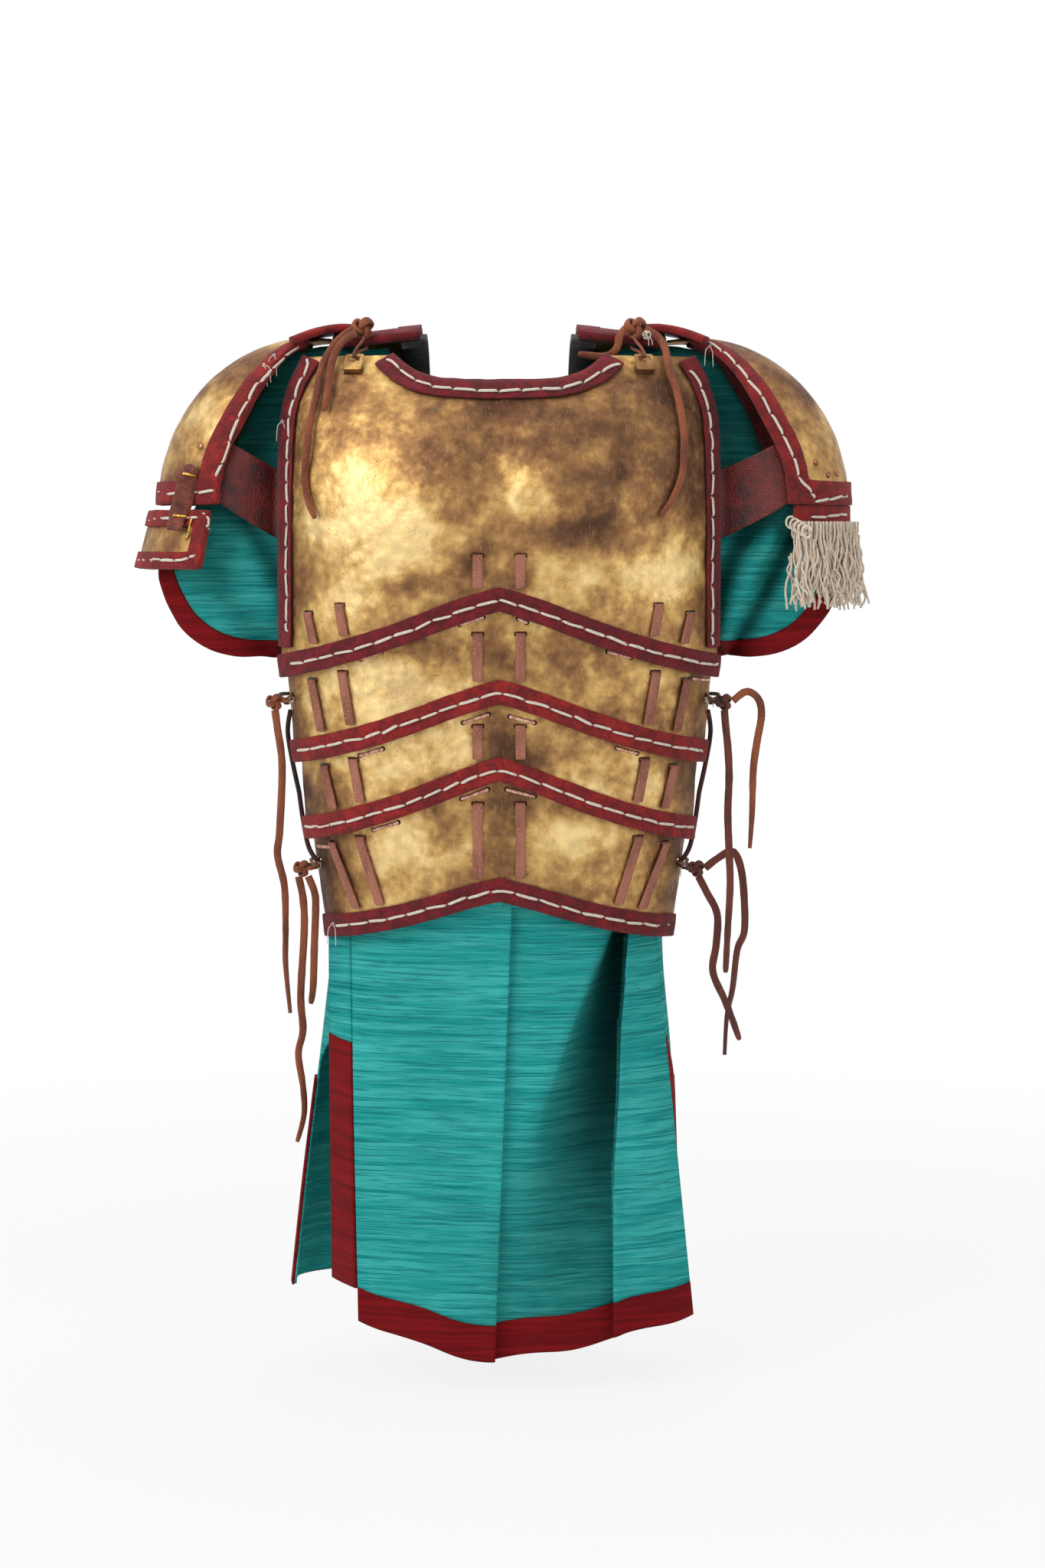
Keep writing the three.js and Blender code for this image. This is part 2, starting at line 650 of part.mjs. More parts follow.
// Front belly plates, back lames, their bindings and lacing, and the side rings and ties
function bellyGrid(level) {
  const inset = level * NEST;
  return spread(16).map((side) => {
    const [topX, footX] = [CHEST_EDGE_X * topHalfShares[level] * side, hemHalf(level) * side];
    const [topZ, footZ] = [hemZ(level - 1, topX) + OVERLAP, hemZ(level, footX)];
    return span(3).map((s) => placeOn(mix(topX, footX, s), mix(topZ, footZ, s), inset));
  });
}

const backHemDrops = [0, REVEAL_1, REVEAL_1 + REVEAL_2, REVEAL_1 + REVEAL_2 + REVEAL_3 * 0.8];
const backHemShare = (level, u) => {
  return downShare(-BACK_HEM_DROP - backHemDrops[level] - CHEVRON_RISE * BACK_CHEVRON_SHARE * Math.abs(u));
};

function backSheet(inset) {
  return new Sheet((u, v) => {
    const angle = u * QUARTER;
    const bend = downShare(FLAP_BEND_Z);
    const low = Math.max(v, bend);
    const r = sectionRadius(angle, halfWidthAt(low, inset), backDepthAt(low, inset));
    const [x, y] = [r * Math.sin(angle), r * Math.cos(angle)];
    if (v >= bend) return vec(x, y, -v * TORSO_HEIGHT);
    const turn = (bend - v) * TORSO_HEIGHT / FLAP_ARC;
    const reach = y - FLAP_CENTRE_Y;
    const slope = FLAP_SLOPE_SHARE * Math.max(Math.abs(x) - FLAP_INNER_X, 0);
    const z = FLAP_BEND_Z + (FLAP_TOP_Z - slope - FLAP_BEND_Z) * Math.sin(turn);
    return vec(x, FLAP_CENTRE_Y + reach * Math.cos(turn), z);
  }, 1);
}

function backLameGrid(level) {
  return span(16).map((t) => {
    const u = mix(-BACK_GAP_SHARE, BACK_GAP_SHARE, t);
    const top = backHemShare(level - 1, u) - OVERLAP / TORSO_HEIGHT;
    return span(2).map((s) => [u, mix(top, backHemShare(level, u), s)]);
  });
}

// A frame of reference at the side of a plate: out from it, back past its edge, and up
function besidePlate(sheet, place, side) {
  const normal = sheet.normal(...place);
  const back = vec(0, 0, 1).cross(normal).normalize();
  back.multiplyScalar(Math.sign(back.y));
  const at = (out, behind, up) => {
    const step = back.clone().multiplyScalar(behind).add(vec(0, 0, up));
    return sheet.at(...sheet.walk(...place, step), out);
  };
  return { at, normal, back };
}

function sidePlaces(level, side) {
  const z = hemZ(level - 1, CHEST_EDGE_X) - BIND_WIDTH;
  const edgeX = mix(CHEST_EDGE_X * topHalfShares[level], hemHalf(level), 0.45);
  const front = placeOn(side * (edgeX - RING_INSET / 2), z, level * NEST);
  const back = [side * BACK_GAP_SHARE * 0.94, downShare(z - RING_RADIUS * ringDropShare)];
  return { front, back };
}

// Copper ring through a hole at the edge of the plate, hanging a little down
function ringGeometry(beside) {
  const hang = beside.back.clone().multiplyScalar(ringBackShare).add(vec(0, 0, -ringDropShare)).normalize();
  const centre = beside.at(0, 0, 0).addScaledVector(hang, RING_RADIUS);
  const flank = hang.clone().cross(beside.normal).normalize();
  const matrix = new THREE.Matrix4().makeBasis(hang, flank.clone().cross(hang), flank);
  return new THREE.TorusGeometry(RING_RADIUS, RING_WIRE, 5, 12).applyMatrix4(matrix.setPosition(centre));
}

// Side tie: a thong through the ring and the hole in the back lame, with its knot outside the ring
function sideTie(beside, back, [u, v]) {
  const level = -RING_RADIUS * ringDropShare;
  const inUnits = ([out, behind, up]) => (
    beside.at(out * TIE_RADIUS, behind * TIE_RADIUS, level + up * TIE_RADIUS)
  );
  const rear = (share, out, up) => back.at(u * share, v - up * TIE_RADIUS / TORSO_HEIGHT, out * TIE_RADIUS);
  const through = tieRingShares.map(inUnits);
  const behind = tieBackShares.map(([share, out, up]) => rear(share, out, up));
  const thong = tube([...through, ...behind], TIE_RADIUS, { sides: 4, steps: 18, loop: true });
  return joined([thong, knot(inUnits(tieKnotShare))]);
}

const knot = (at) => (
  new THREE.SphereGeometry(KNOT_RADIUS, 7, 5).scale(1, 0.8, 0.9).translate(...at.toArray())
);

function addHoop(level) {
  const sheet = frontSheet(level * NEST);
  const back = backSheet(level * NEST);
  const lame = plateBody(back, backLameGrid(level), BRASS);
  const tied = level === 2 ? [] : sides;
  const holes = tied.map(([, side]) => holeCutter(sheet, sidePlaces(level, side).front, RING_HOLE));
  const lameHoles = tied.map(([, side]) => holeCutter(back, sidePlaces(level, side).back, TIE_HOLE));
  const cutters = [...slotCutters(level, sheet), ...holes];
  add(`belly_plate_${level}`, cut(plateBody(sheet, bellyGrid(level), BRASS), cutters), 'brass');
  const binding = sweepOnSheet(sheet, hemPath(level, 16), bindingProfile(BIND_WIDTH));
  add(`belly_binding_${level}`, binding, 'suede');
  add(`belly_lacing_${level}`, lacingOf(level, sheet), 'thong');
  add(`back_lame_${level}`, cut(lame, lameHoles), 'brass');
  tied.forEach(([name, side]) => {
    const places = sidePlaces(level, side);
    const beside = besidePlate(sheet, places.front, side);
    add(`${name}_ring_${level}`, ringGeometry(beside), 'copper');
    add(`${name}_side_tie_${level}`, sideTie(beside, back, places.back), 'thong');
  });
}

// Back plate: the shell below the neck, with two flaps that bend forwards over the shoulders
const bendV = downShare(FLAP_BEND_Z);
const flapEndV = bendV - (0.5 + FLAP_END_TURN_SHARE / 2) * Math.PI * FLAP_ARC / TORSO_HEIGHT;
const backNeckV = downShare(BACK_NECK_Z);
const backU = (x) => placeOn(x, FLAP_BEND_Z, 0, backDepthAt)[0];
const backFootV = backHemShare(0, BACK_GAP_SHARE) - (BIND_WIDTH * 1.2) / TORSO_HEIGHT;

const neckShares = [0.16, 0.48, 0.76, 1];

function backOutline() {
  const armhole = span(8).map((t) => {
    const u = mix(BACK_GAP_SHARE, backU(FLAP_OUTER_X), t ** 1.8);
    return [u, mix(backFootV, backNeckV, 1 - (1 - t) ** 1.3)];
  });
  const outer = span(8).slice(1).map((t) => [backU(FLAP_OUTER_X), mix(backNeckV, flapEndV, t)]);
  const end = [1 / 3, 2 / 3].map((t) => [backU(mix(FLAP_OUTER_X, FLAP_INNER_X, t)), flapEndV]);
  const inner = span(8).map((t) => [backU(FLAP_INNER_X), mix(flapEndV, backNeckV, t)]);
  const neck = neckShares.map((t) => {
    return [backU(FLAP_INNER_X * (1 - t)), backNeckV + (BACK_NECK_DIP / TORSO_HEIGHT) * (1 - (1 - t) ** 4)];
  });
  return { armhole, outer, end, inner, neck };
}

const mirroredPlaces = (places) => places.map(([u, v]) => [-u, v]);

function backPlateBody(back) {
  const { armhole, neck } = backOutline();
  const across = [1 / 3, 2 / 3, 1].map((t) => [backU(mix(FLAP_OUTER_X, FLAP_INNER_X, t)), backNeckV]);
  const half = [...armhole, ...across, ...neck];
  const columns = half.map(([u, v], k) => {
    const hemU = BACK_GAP_SHARE * (1 - k / (half.length - 1));
    return span(6).map((t) => t ** 1.6).map((t) => [mix(u, hemU, t), mix(v, backHemShare(0, hemU), t)]);
  });
  const shell = plateBody(back, [...columns, ...columns.slice(0, -1).reverse().map(mirroredPlaces)], BRASS);
  const flaps = [-1, 1].map((side) => {
    const grid = span(4).map((t) => span(8).map((s) => {
      const u = side * backU(mix(FLAP_OUTER_X, FLAP_INNER_X, t));
      return [u, mix(backNeckV, flapEndV, s === 0 ? -0.04 : s)];
    }));
    return plateBody(back, grid, BRASS * 0.98);
  });
  return joined([shell, ...flaps]);
}

function addBack() {
  const back = backSheet(0);
  const { armhole, outer, end, inner, neck } = backOutline();
  const holes = [-1, 1].map((side) => holeCutter(back, shoulderHole(side), TIE_HOLE));
  add('back_plate', cut(backPlateBody(back), holes), 'brass');
  const half = [...armhole, ...outer, ...end, ...inner, ...neck];
  const hem = span(20).map((t) => mix(-1, 1, t) * BACK_GAP_SHARE).map((u) => [u, backHemShare(0, u)]);
  const round = [...half, ...mirroredPlaces(half.slice(0, -1)).reverse(), ...hem];
  const fold = bindingProfile(BIND_WIDTH, BACK_BIND_GAP);
  const binding = sweepOnSheet(back, round, fold, { loop: true, side: -1 });
  add('back_plate_binding', binding, 'suede');
}

// Shoulder ties: a thong through the brass loop on the chest plate and a hole in the flap above it
function shoulderHole(side) {
  return [side * backU(SHOULDER_TIE_X), flapEndV + (BIND_WIDTH + 3 * TIE_HOLE) / TORSO_HEIGHT];
}

function shoulderKnotAt(side) {
  const [u] = shoulderHole(side);
  return backSheet(0).at(u, flapEndV, SHOULDER_KNOT_LIFT);
}

function addShoulder(name, side) {
  const back = backSheet(0);
  const [u, v] = shoulderHole(side);
  const { body, frame } = loopParts(side);
  add(`${name}_shoulder_loop`, body, 'brass');
  const inLoop = (y, z) => vec(0, y, z).applyMatrix4(frame);
  const lift = BRASS / 2 + BIND_GAP + SUEDE + GAP + TIE_RADIUS;
  const slotY = LOOP_HEIGHT / 5;
  const behind = LOOP_STAND / 2;
  const path = [
    inLoop(slotY - GAP, LOOP_STAND + BRASS / 2 + GAP + TIE_RADIUS),
    inLoop(LOOP_HEIGHT / 2 + TIE_RADIUS * 2, LOOP_STAND + TIE_RADIUS),
    back.at(u, flapEndV - 2 * lift / TORSO_HEIGHT, lift),
    back.at(u, mix(flapEndV, v, 0.5), lift),
    back.at(u, v, TIE_RADIUS),
    back.at(u, v, -TIE_RADIUS),
    back.at(u, mix(flapEndV, v, 0.5), -lift),
    back.at(u, flapEndV - lift / TORSO_HEIGHT, -lift),
    inLoop(LOOP_HEIGHT / 2 + TIE_RADIUS * 2, behind),
    inLoop(slotY - GAP, behind),
  ];
  const thong = tube(path, SHOULDER_TIE_RADIUS, { sides: 4, steps: 18, loop: true });
  add(`${name}_shoulder_knot`, joined([thong, knot(shoulderKnotAt(side))]), 'thong');
}

// Pauldrons: part of an ellipsoid, u round the arm from front to back, v up over the shoulder
const domeCentre = (side) => DOME_X + (side > 0 ? LEFT_SHIFT : 0);

function domeSheet(side) {
  return new Sheet((u, v) => {
    const [round, over] = [u * QUARTER, v * QUARTER];
    const x = domeCentre(side) + DOME_WIDE * Math.cos(over) * Math.cos(round);
    return vec(side * x, DOME_DEEP * Math.sin(round), DOME_Z + DOME_HIGH * Math.sin(over) * Math.cos(round));
  }, side);
}

function domePlace(u, z) {
  return [u, Math.asin(Math.min((z - DOME_Z) / (DOME_HIGH * Math.cos(u * QUARTER)), 1)) / QUARTER];
}

function addPauldron(name, side) {
  const dome = domeSheet(side);
  const edgeAt = (v) => follow(domeEdgeShares, v);
  const topX = FLAP_OUTER_X + 2 * (GAP + SUEDE);
  const heights = span(12).map((t) => t * (1 + Math.asin((domeCentre(side) - topX) / DOME_WIDE) / QUARTER));
  const grid = heights.map((v) => span(8).map((s) => [mix(-1, 1, s) * edgeAt(v), v]));
  add(`${name}_pauldron`, plateBody(dome, grid, BRASS), 'brass');
  const front = heights.slice(1, 12).map((v) => [-edgeAt(v), v]).reverse();
  const bottom = span(8).map((t) => [mix(-1, 1, t) * edgeAt(0), 0]);
  const path = [...front, ...bottom, ...mirroredPlaces(front).reverse()];
  const widthAt = (t) => Math.min(1, 0.35 + 5 * Math.min(t, 1 - t));
  const binding = sweepOnSheet(dome, path, bindingProfile(BIND_WIDTH), { side: side, widthAt });
  add(`${name}_pauldron_binding`, binding, 'suede');
}

// Upright sheet round the arm below a pauldron; v runs down from top to bottom
function cuffSheet(side, step, flare, topZ, height) {
  return new Sheet((u, v) => {
    const out = step + flare * v;
    const x = domeCentre(side) + (DOME_WIDE + out) * Math.cos(u * QUARTER);
    return vec(side * x, (DOME_DEEP + out) * Math.sin(u * QUARTER), topZ - v * height);
  }, -side);
}

function addArmLame() {
  const side = -1;
  const topZ = DOME_Z - 2 * (GAP + SUEDE) - LAME_TOP_GAP;
  const sheet = cuffSheet(side, LAME_STEP, LAME_FLARE, topZ, LAME_HEIGHT);
  const ends = LAME_EDGE_SHARE;
  const grid = span(9).map((t) => span(2).map((v) => [mix(-ends, ends, t), v]));
  add('right_arm_lame', plateBody(sheet, grid, BRASS), 'brass');
  const top = span(9).map((t) => [mix(-ends, ends, t), 0]);
  const foot = span(9).map((t) => [mix(ends, -ends, t), 1]);
  const path = [...top, [ends, 0.5], ...foot, [-ends, 0.5]];
  const binding = sweepOnSheet(sheet, path, bindingProfile(LAME_BIND), { loop: true, side: 1 });
  add('right_arm_lame_binding', binding, 'suede');
  const dome = domeSheet(side);
  const u = -TAB_AZIMUTH_SHARE;
  const over = BRASS / 2 + BIND_GAP + SUEDE + GAP + TAB_THICK / 2;
  const onDome = (z, lift) => dome.at(...domePlace(u, z), lift);
  const onLame = (z, lift) => sheet.at(u, (topZ - z) / LAME_HEIGHT, lift);
  const points = [
    onDome(TAB_TOP_Z, over - SUEDE), onDome(mix(TAB_TOP_Z, DOME_Z, 0.4), over),
    onDome(DOME_Z + BIND_WIDTH / 3, over),
    onLame(topZ, over), onLame(topZ - LAME_BIND, over), onLame(TAB_BOTTOM_Z, over),
  ];
  const facing = dome.normal(u, 0);
  const tab = ribbonAlong(points, rectangle(TAB_WIDTH, TAB_THICK), { steps: 8, facing });
  add('right_lame_tab', tab, 'strap');
}

function addFringe() {
  const side = 1;
  const topZ = DOME_Z - 2 * GAP - SUEDE;
  const band = cuffSheet(side, -GAP, 0, topZ, BAND_HEIGHT);
  const bandGrid = span(8).map((t) => [0, 1].map((v) => [mix(-FRINGE_FRONT_SHARE, FRINGE_BACK_SHARE, t), v]));
  add('left_fringe_band', plateBody(band, bandGrid, 2 * SUEDE + BRASS), 'suede');
  const string = cuffSheet(side, -GAP, FRINGE_FLARE, topZ - BAND_HEIGHT - SEAM, FRINGE_LENGTH);
  const grid = span(6).map((t) => span(3).map((v) => {
    return [mix(-FRINGE_FRONT_SHARE, FRINGE_END_SHARE, t) * (1 + 0.06 * v), v];
  }));
  add('left_fringe', plateBody(string, grid, FRINGE_THICK), 'string');
}

// Arm strap: from behind the chest plate's armhole to the inside of the pauldron
function addArmStrap(name, side) {
  const dome = domeSheet(side);
  const onChest = (x, z, lift) => chest.at(...placeOn(side * x, z, 0), lift);
  const atSide = (x, z, lift) => vec(side * x, lift, z);
  const onDome = (u, z, lift) => dome.at(...domePlace(u, z), lift);
  const columns = [
    ...strapChestShares.map(([x, ...rest]) => [onChest, x * CHEST_EDGE_X, ...rest]),
    ...strapSideShares.map(([x, ...rest]) => [atSide, x * CHEST_EDGE_X, ...rest]),
    ...strapDomeShares.map((place) => [onDome, ...place]),
  ];
  const grid = columns.map(([on, at, drop, lift, wide]) => span(3).map((t) => {
    return on(at, -drop * STRAP_DROP + (t - 0.5) * wide * STRAP_WIDTH, -lift * STRAP_CLEAR);
  }));
  add(`${name}_arm_strap`, patchBody(grid, STRAP_THICK), 'strap');
}

// A patch of even thickness through a grid of points
function patchBody(grid, thickness) {
  const sheet = new Sheet((u, v) => {
    const [columns, rows] = [grid.length - 1, grid[0].length - 1];
    const i = Math.min(Math.max(Math.floor(u), 0), columns - 1);
    const j = Math.min(Math.max(Math.floor(v), 0), rows - 1);
    const [s, t] = [u - i, v - j];
    const low = grid[i][j].clone().lerp(grid[i + 1][j], s);
    return low.lerp(grid[i][j + 1].clone().lerp(grid[i + 1][j + 1], s), t);
  }, 1);
  return plateBody(sheet, grid.map((column, i) => column.map((_, j) => [i, j])), thickness);
}

// Tunic: body, sleeves and skirt panels
function bodyRing(z, inset, halfShare, depthShare, count = 20) {
  const v = downShare(z);
  const half = halfWidthAt(v, inset) * halfShare;
  return span(count).slice(0, count).map((t) => {
    const angle = 2 * Math.PI * t;
    const deep = (Math.cos(angle) > 0 ? frontDepthAt(v, inset) : backDepthAt(v, inset)) * depthShare;
    const r = sectionRadius(angle, half, deep);
    return vec(r * Math.sin(angle), -r * Math.cos(angle), z);
  });
}

const tunicHeights = [0.86, 0.55, 0.28, 0.15, 0.08].map((share) => -share * TORSO_HEIGHT);

function tunicCore(inset, topZ, footZ) {
  const rings = [footZ, ...tunicHeights].map((z) => bodyRing(z, inset, 1, 1));
  rings.push(bodyRing(mix(TUNIC_TOP_Z, tunicHeights[4], 0.35), inset, 0.97, 0.97));
  const last = bodyRing(TUNIC_TOP_Z, inset, 0.93, 0.72);
  rings.push(last.map((p) => p.setZ(topZ)));
  return ringBody(rings, rings[0].map((p) => [p.x, p.y]));
}

const sleeveAxis = (side) => {
  return vec(side * (SLEEVE_HEM_X - SLEEVE_ROOT_X), 0, SLEEVE_HEM_Z - SLEEVE_ROOT_Z).normalize();
};

function sleeveRing(side, t, shrink, beyond = 0, count = 14) {
  const centre = vec(side * mix(SLEEVE_ROOT_X, SLEEVE_HEM_X, t), 0, mix(SLEEVE_ROOT_Z, SLEEVE_HEM_Z, t));
  const axis = sleeveAxis(side);
  const wide = vec(side * -axis.z, 0, side * axis.x);
  const share = follow(sleeveHalfShares, t);
  return span(count).slice(0, count).map((k) => {
    const angle = 2 * Math.PI * k;
    const [w, d] = [Math.cos(angle), Math.sin(angle)];
    const bulge = SLEEVE_BULGE * t ** 2 * (1 - w ** 2) + beyond;
    return centre.clone().addScaledVector(wide, w * (SLEEVE_HALF * share - shrink))
      .addScaledVector(axis, bulge).add(vec(0, d * (SLEEVE_DEEP * follow(sleeveDeepShares, t) - shrink), 0));
  });
}

function sleeveCore(side, shrink, beyond) {
  const rings = [0, 0.4, 0.75].map((t) => sleeveRing(side, t, shrink));
  rings.push(sleeveRing(side, 1, shrink, beyond));
  return ringBody(rings, rings[0].map((_, k) => [Math.cos(k / 7 * Math.PI), Math.sin(k / 7 * Math.PI)]));
}

// A tube of even wall between two sets of rings
function wallBody(outer, inner) {
  const count = outer[0].length;
  const section = [...outer, ...inner.slice().reverse()];
  const rings = span(count).slice(0, count).map((_, k) => section.map((ring) => ring[k]));
  return ringBody(rings, section.map((_, k) => [k, 0]), true);
}

function frontSkirtSheet() {
  return new Sheet((u, v) => {
    const edge = u < 0 ? mix(FRONT_LEFT_TOP, FRONT_LEFT_FOOT, v) : mix(FRONT_RIGHT_TOP, FRONT_RIGHT_FOOT, v);
    const x = u * edge;
    const drop = (SKIRT_TOP_Z - FRONT_SKIRT_Z) - SKIRT_SIDE_RISE * Math.abs(u) ** 1.5;
    const z = SKIRT_TOP_Z - v * drop;
    const top = downShare(SKIRT_TOP_Z);
    const eased = Math.min(1, Math.max(v, 0) * 2.5) ** 1.5;
    const half = halfWidthAt(top, TUNIC_INSET + CLOTH / 2) + SKIRT_FLARE * Math.min(v, 1.1);
    const deep = frontDepthAt(top, TUNIC_INSET + CLOTH / 2) + SKIRT_FRONT_FLARE * eased;
    const share = Math.min(Math.abs(x) / half, 0.999) ** SECTION_POWER_SHARE;
    const y = -deep * (1 - share) ** (1 / SECTION_POWER_SHARE);
    const centre = FOLD_DEPTH * gauss(x - mix(CREASE_TOP_X, CREASE_FOOT_X, v), CREASE_SPREAD);
    const foldX = mix(DEEP_FOLD_TOP_X, DEEP_FOLD_FOOT_X, v);
    const deepFold = FOLD_DEPTH * DEEP_FOLD_SHARE * gauss(x - foldX, DEEP_FOLD_SPREAD);
    const swell = FOLD_DEPTH * 0.4 * Math.cos(x / SWELL_PITCH * Math.PI);
    return vec(x, y + (centre + deepFold - swell) * eased, z);
  }, -1);
}

function backSkirtSheet() {
  return new Sheet((u, v) => {
    const top = downShare(SKIRT_TOP_Z);
    const angle = u * QUARTER;
    const eased = Math.min(1, Math.max(v, 0) * 2) ** 1.3;
    const half = halfWidthAt(top, TUNIC_INSET + CLOTH / 2) + BACK_FLARE * v;
    const behind = Math.cos(angle) > 0;
    const deep = (behind ? backDepthAt(top, TUNIC_INSET + CLOTH / 2) + BACK_FLARE * 0.4 * v
      : frontDepthAt(top, TUNIC_INSET + CLOTH / 2) - WRAP_DRAW * eased);
    const r = sectionRadius(angle, half, deep) + (behind ? BACK_FOLD * Math.cos(angle * 9) * eased : 0);
    return vec(r * Math.sin(angle), r * Math.cos(angle), SKIRT_TOP_Z - v * (SKIRT_TOP_Z - BACK_SKIRT_Z));
  }, 1);
}

function addTunic() {
  const [front, behind] = [frontSkirtSheet(), backSkirtSheet()];
  const inner = TUNIC_INSET + CLOTH;
  const outside = [
    tunicCore(TUNIC_INSET, TUNIC_TOP_Z, TUNIC_WAIST_Z), ...[-1, 1].map((side) => sleeveCore(side, 0, 0)),
  ];
  const inside = [
    tunicCore(inner, TUNIC_TOP_Z - CLOTH, TUNIC_WAIST_Z - CLOTH),
    ...[-1, 1].map((side) => sleeveCore(side, CLOTH, CLOTH)),
  ];
  const hole = new THREE.CylinderGeometry(NECK_HOLE_HALF, NECK_HOLE_HALF, 4 * BACK_DEPTH, 20);
  hole.scale(1, 1, -NECK_HOLE_Z / NECK_HOLE_HALF);
  const shell = cut(joined(outside), [...inside, hole]);
  const frontGrid = span(18).map((t) => span(5).map((v) => [mix(-1, 1, t), v]));
  const wrap = BACK_WRAP_SHARE;
  const slitV = (SKIRT_TOP_Z - SLIT_Z) / (SKIRT_TOP_Z - BACK_SKIRT_Z);
  const stepV = 2 * SEAM / (SKIRT_TOP_Z - BACK_SKIRT_Z);
  const levels = [0, slitV / 2, slitV, slitV + stepV, mix(slitV, 1, 0.5), 1];
  const extent = (v) => (v <= slitV ? wrap : wrap - FACING_SHARE);
  const backGrid = span(16).map((t) => levels.map((v) => [mix(-1, 1, t) * extent(v), v]));
  const panels = [plateBody(front, frontGrid, CLOTH_PANEL), plateBody(behind, backGrid, CLOTH_PANEL)];
  add('tunic', joined([shell, ...panels]), 'cloth');

  const bandV = FRONT_BAND / (SKIRT_TOP_Z - FRONT_SKIRT_Z);
  const seamV = SEAM / (SKIRT_TOP_Z - FRONT_SKIRT_Z);
  const bandGrid = span(18).map((t) => [1 + seamV, 1 + bandV].map((v) => [mix(-1, 1, t), v]));
  add('front_hem_band', plateBody(front, bandGrid, CLOTH_PANEL), 'band');

  const footV = 1 + BACK_BAND / (SKIRT_TOP_Z - BACK_SKIRT_Z);
  const seam = SEAM / (SKIRT_TOP_Z - BACK_SKIRT_Z);
  const seamU = SEAM / HALF_WIDTH;
  const stripGrid = span(16).map((t) => [1 + seam, footV].map((v) => [mix(-wrap, wrap, t), v]));
  const strip = plateBody(behind, stripGrid, CLOTH_PANEL);
  const facings = [-1, 1].map((side) => {
    const edges = [wrap - FACING_SHARE + seamU, wrap];
    return plateBody(behind, edges.map((u) => {
      return [slitV + 2 * stepV, mix(slitV, 1, 0.5), 1, footV].map((v) => [side * u, v]);
    }), CLOTH_PANEL * 0.98);
  });
  add('back_hem_band', joined([strip, ...facings]), 'band');
  sides.forEach(([name, side]) => {
    const outer = [SEAM + CLOTH, SLEEVE_BAND].map((beyond) => sleeveRing(side, 1, 0, beyond));
    const innerRings = [SEAM + CLOTH, SLEEVE_BAND].map((beyond) => sleeveRing(side, 1, CLOTH, beyond));
    add(`${name}_sleeve_band`, wallBody(outer, innerRings), 'band');
  });
}

// Padding round the neck, sewn under the flaps and inside the back plate
function addPadding() {
  const { inner, neck } = backOutline();
  const half = [...inner, ...neck];
  const path = [...half, ...mirroredPlaces(half.slice(0, -1)).reverse()];
  const high = -BRASS / 2 - BACK_BIND_GAP - SUEDE - GAP;
  const low = high - PAD_THICK;
  const profile = [[-PAD_WIDTH, low], [PAD_OUT, low], [PAD_OUT, high], [-PAD_WIDTH, high]];
  add('neck_padding', sweepOnSheet(backSheet(0), path, profile, { side: -1 }), 'pad');
}

// Free thong ends, as routes of points from the knot to the tip
const freeEnds = {
  right_shoulder_end_long: [
    [-126.3, -44, 4], [-139, -49, -6], [-149, -53, -21], [-154, -62, -36], [-156, -71, -54],
    [-162, -81, -82], [-163, -85, -95], [-165, -88, -124], [-162, -93, -145], [-156, -98, -160],
  ],
  right_shoulder_end_short: [
    [-124, -48.5, 0], [-134, -56, -7], [-142, -60, -20], [-145, -67, -36], [-147, -76, -54],
    [-149, -83, -68],
  ],
  left_shoulder_end_long: [
    [126.3, -44, 4], [137, -49, -3], [143, -54, -14], [146, -64, -33], [152, -72, -51], [157, -83, -83],
    [157, -90, -103], [155, -96, -124], [146, -104, -145], [137, -109, -157],
  ],
  left_shoulder_end_neck: [
    [109.7, -43, 5], [104, -48, -2], [102, -50, -12], [95, -50, -19], [85, -50, -20], [76, -50, -19],
    [68, -50, -18],
  ],
  right_side_end_1: [
    [-193, -54.9, -325], [-191, -54.9, -340], [-187, -53.95, -373], [-189, -54, -428],
    [-191, -53, -450], [-185, -53, -477], [-184, -53, -515], [-184, -53, -544], [-180, -53, -586],
  ],
  right_side_end_3: [
    [-174, -35.7, -470.4], [-170, -36.53, -490], [-169, -37.02, -517], [-172, -37.51, -573],
    [-170, -38.17, -603], [-174, -38, -624], [-170, -38, -652], [-169, -38, -676], [-175, -38, -700],
  ],
  right_side_end_3_back: [
    [-165.5, -37.5, -470.1], [-160, -37.7, -484], [-159, -38.36, -497], [-160, -40.68, -530],
    [-161, -40.34, -564], [-163, -41.17, -580],
  ],
  left_side_end_1: [
    [201.35, -54.9, -317], [213, -53.9, -309], [223, -53.95, -315], [226, -54, -329], [222, -54, -353],
    [219, -53, -377], [218, -53, -412], [216, -53, -444],
  ],
  left_side_end_1_back: [
    [194, -54.9, -325], [195, -54.9, -338], [197, -54.95, -358], [198, -55, -382], [197, -54, -413],
    [198, -54, -445], [199, -54, -475], [197, -54, -513], [195, -54, -551],
  ],
  left_side_end_3: [
    [173, -36.5, -470.4], [180, -37.12, -484], [189, -38.19, -503], [188, -39.68, -529],
    [185, -40.34, -552], [195, -41.17, -576], [201, -42, -591], [208, -42, -611],
  ],
  left_side_end_3_back: [
    [178.95, -35.4, -463], [190, -31.7, -455], [203, -31.36, -449], [210, -33.68, -464],
    [213, -32.34, -492], [213, -31.17, -519], [207, -30, -535], [203, -30, -568], [198, -30, -593],
    [196, -30, -626],
  ],
};

function addFreeEnds() {
  Object.entries(freeEnds).forEach(([name, route]) => {
    const points = route.map(([x, y, z]) => vec(x, y, z));
    const oval = span(8).slice(0, 8).map((t) => t * 2 * Math.PI)
      .map((angle) => [END_WIDTH / 2 * Math.cos(angle), END_THICK / 2 * Math.sin(angle)]);
    const steps = Math.min(Math.ceil(new THREE.CatmullRomCurve3(points).getLength() / (3 * END_WIDTH)), 16);
    add(name, ribbonAlong(points, oval, { steps }), 'thong');
  });
}

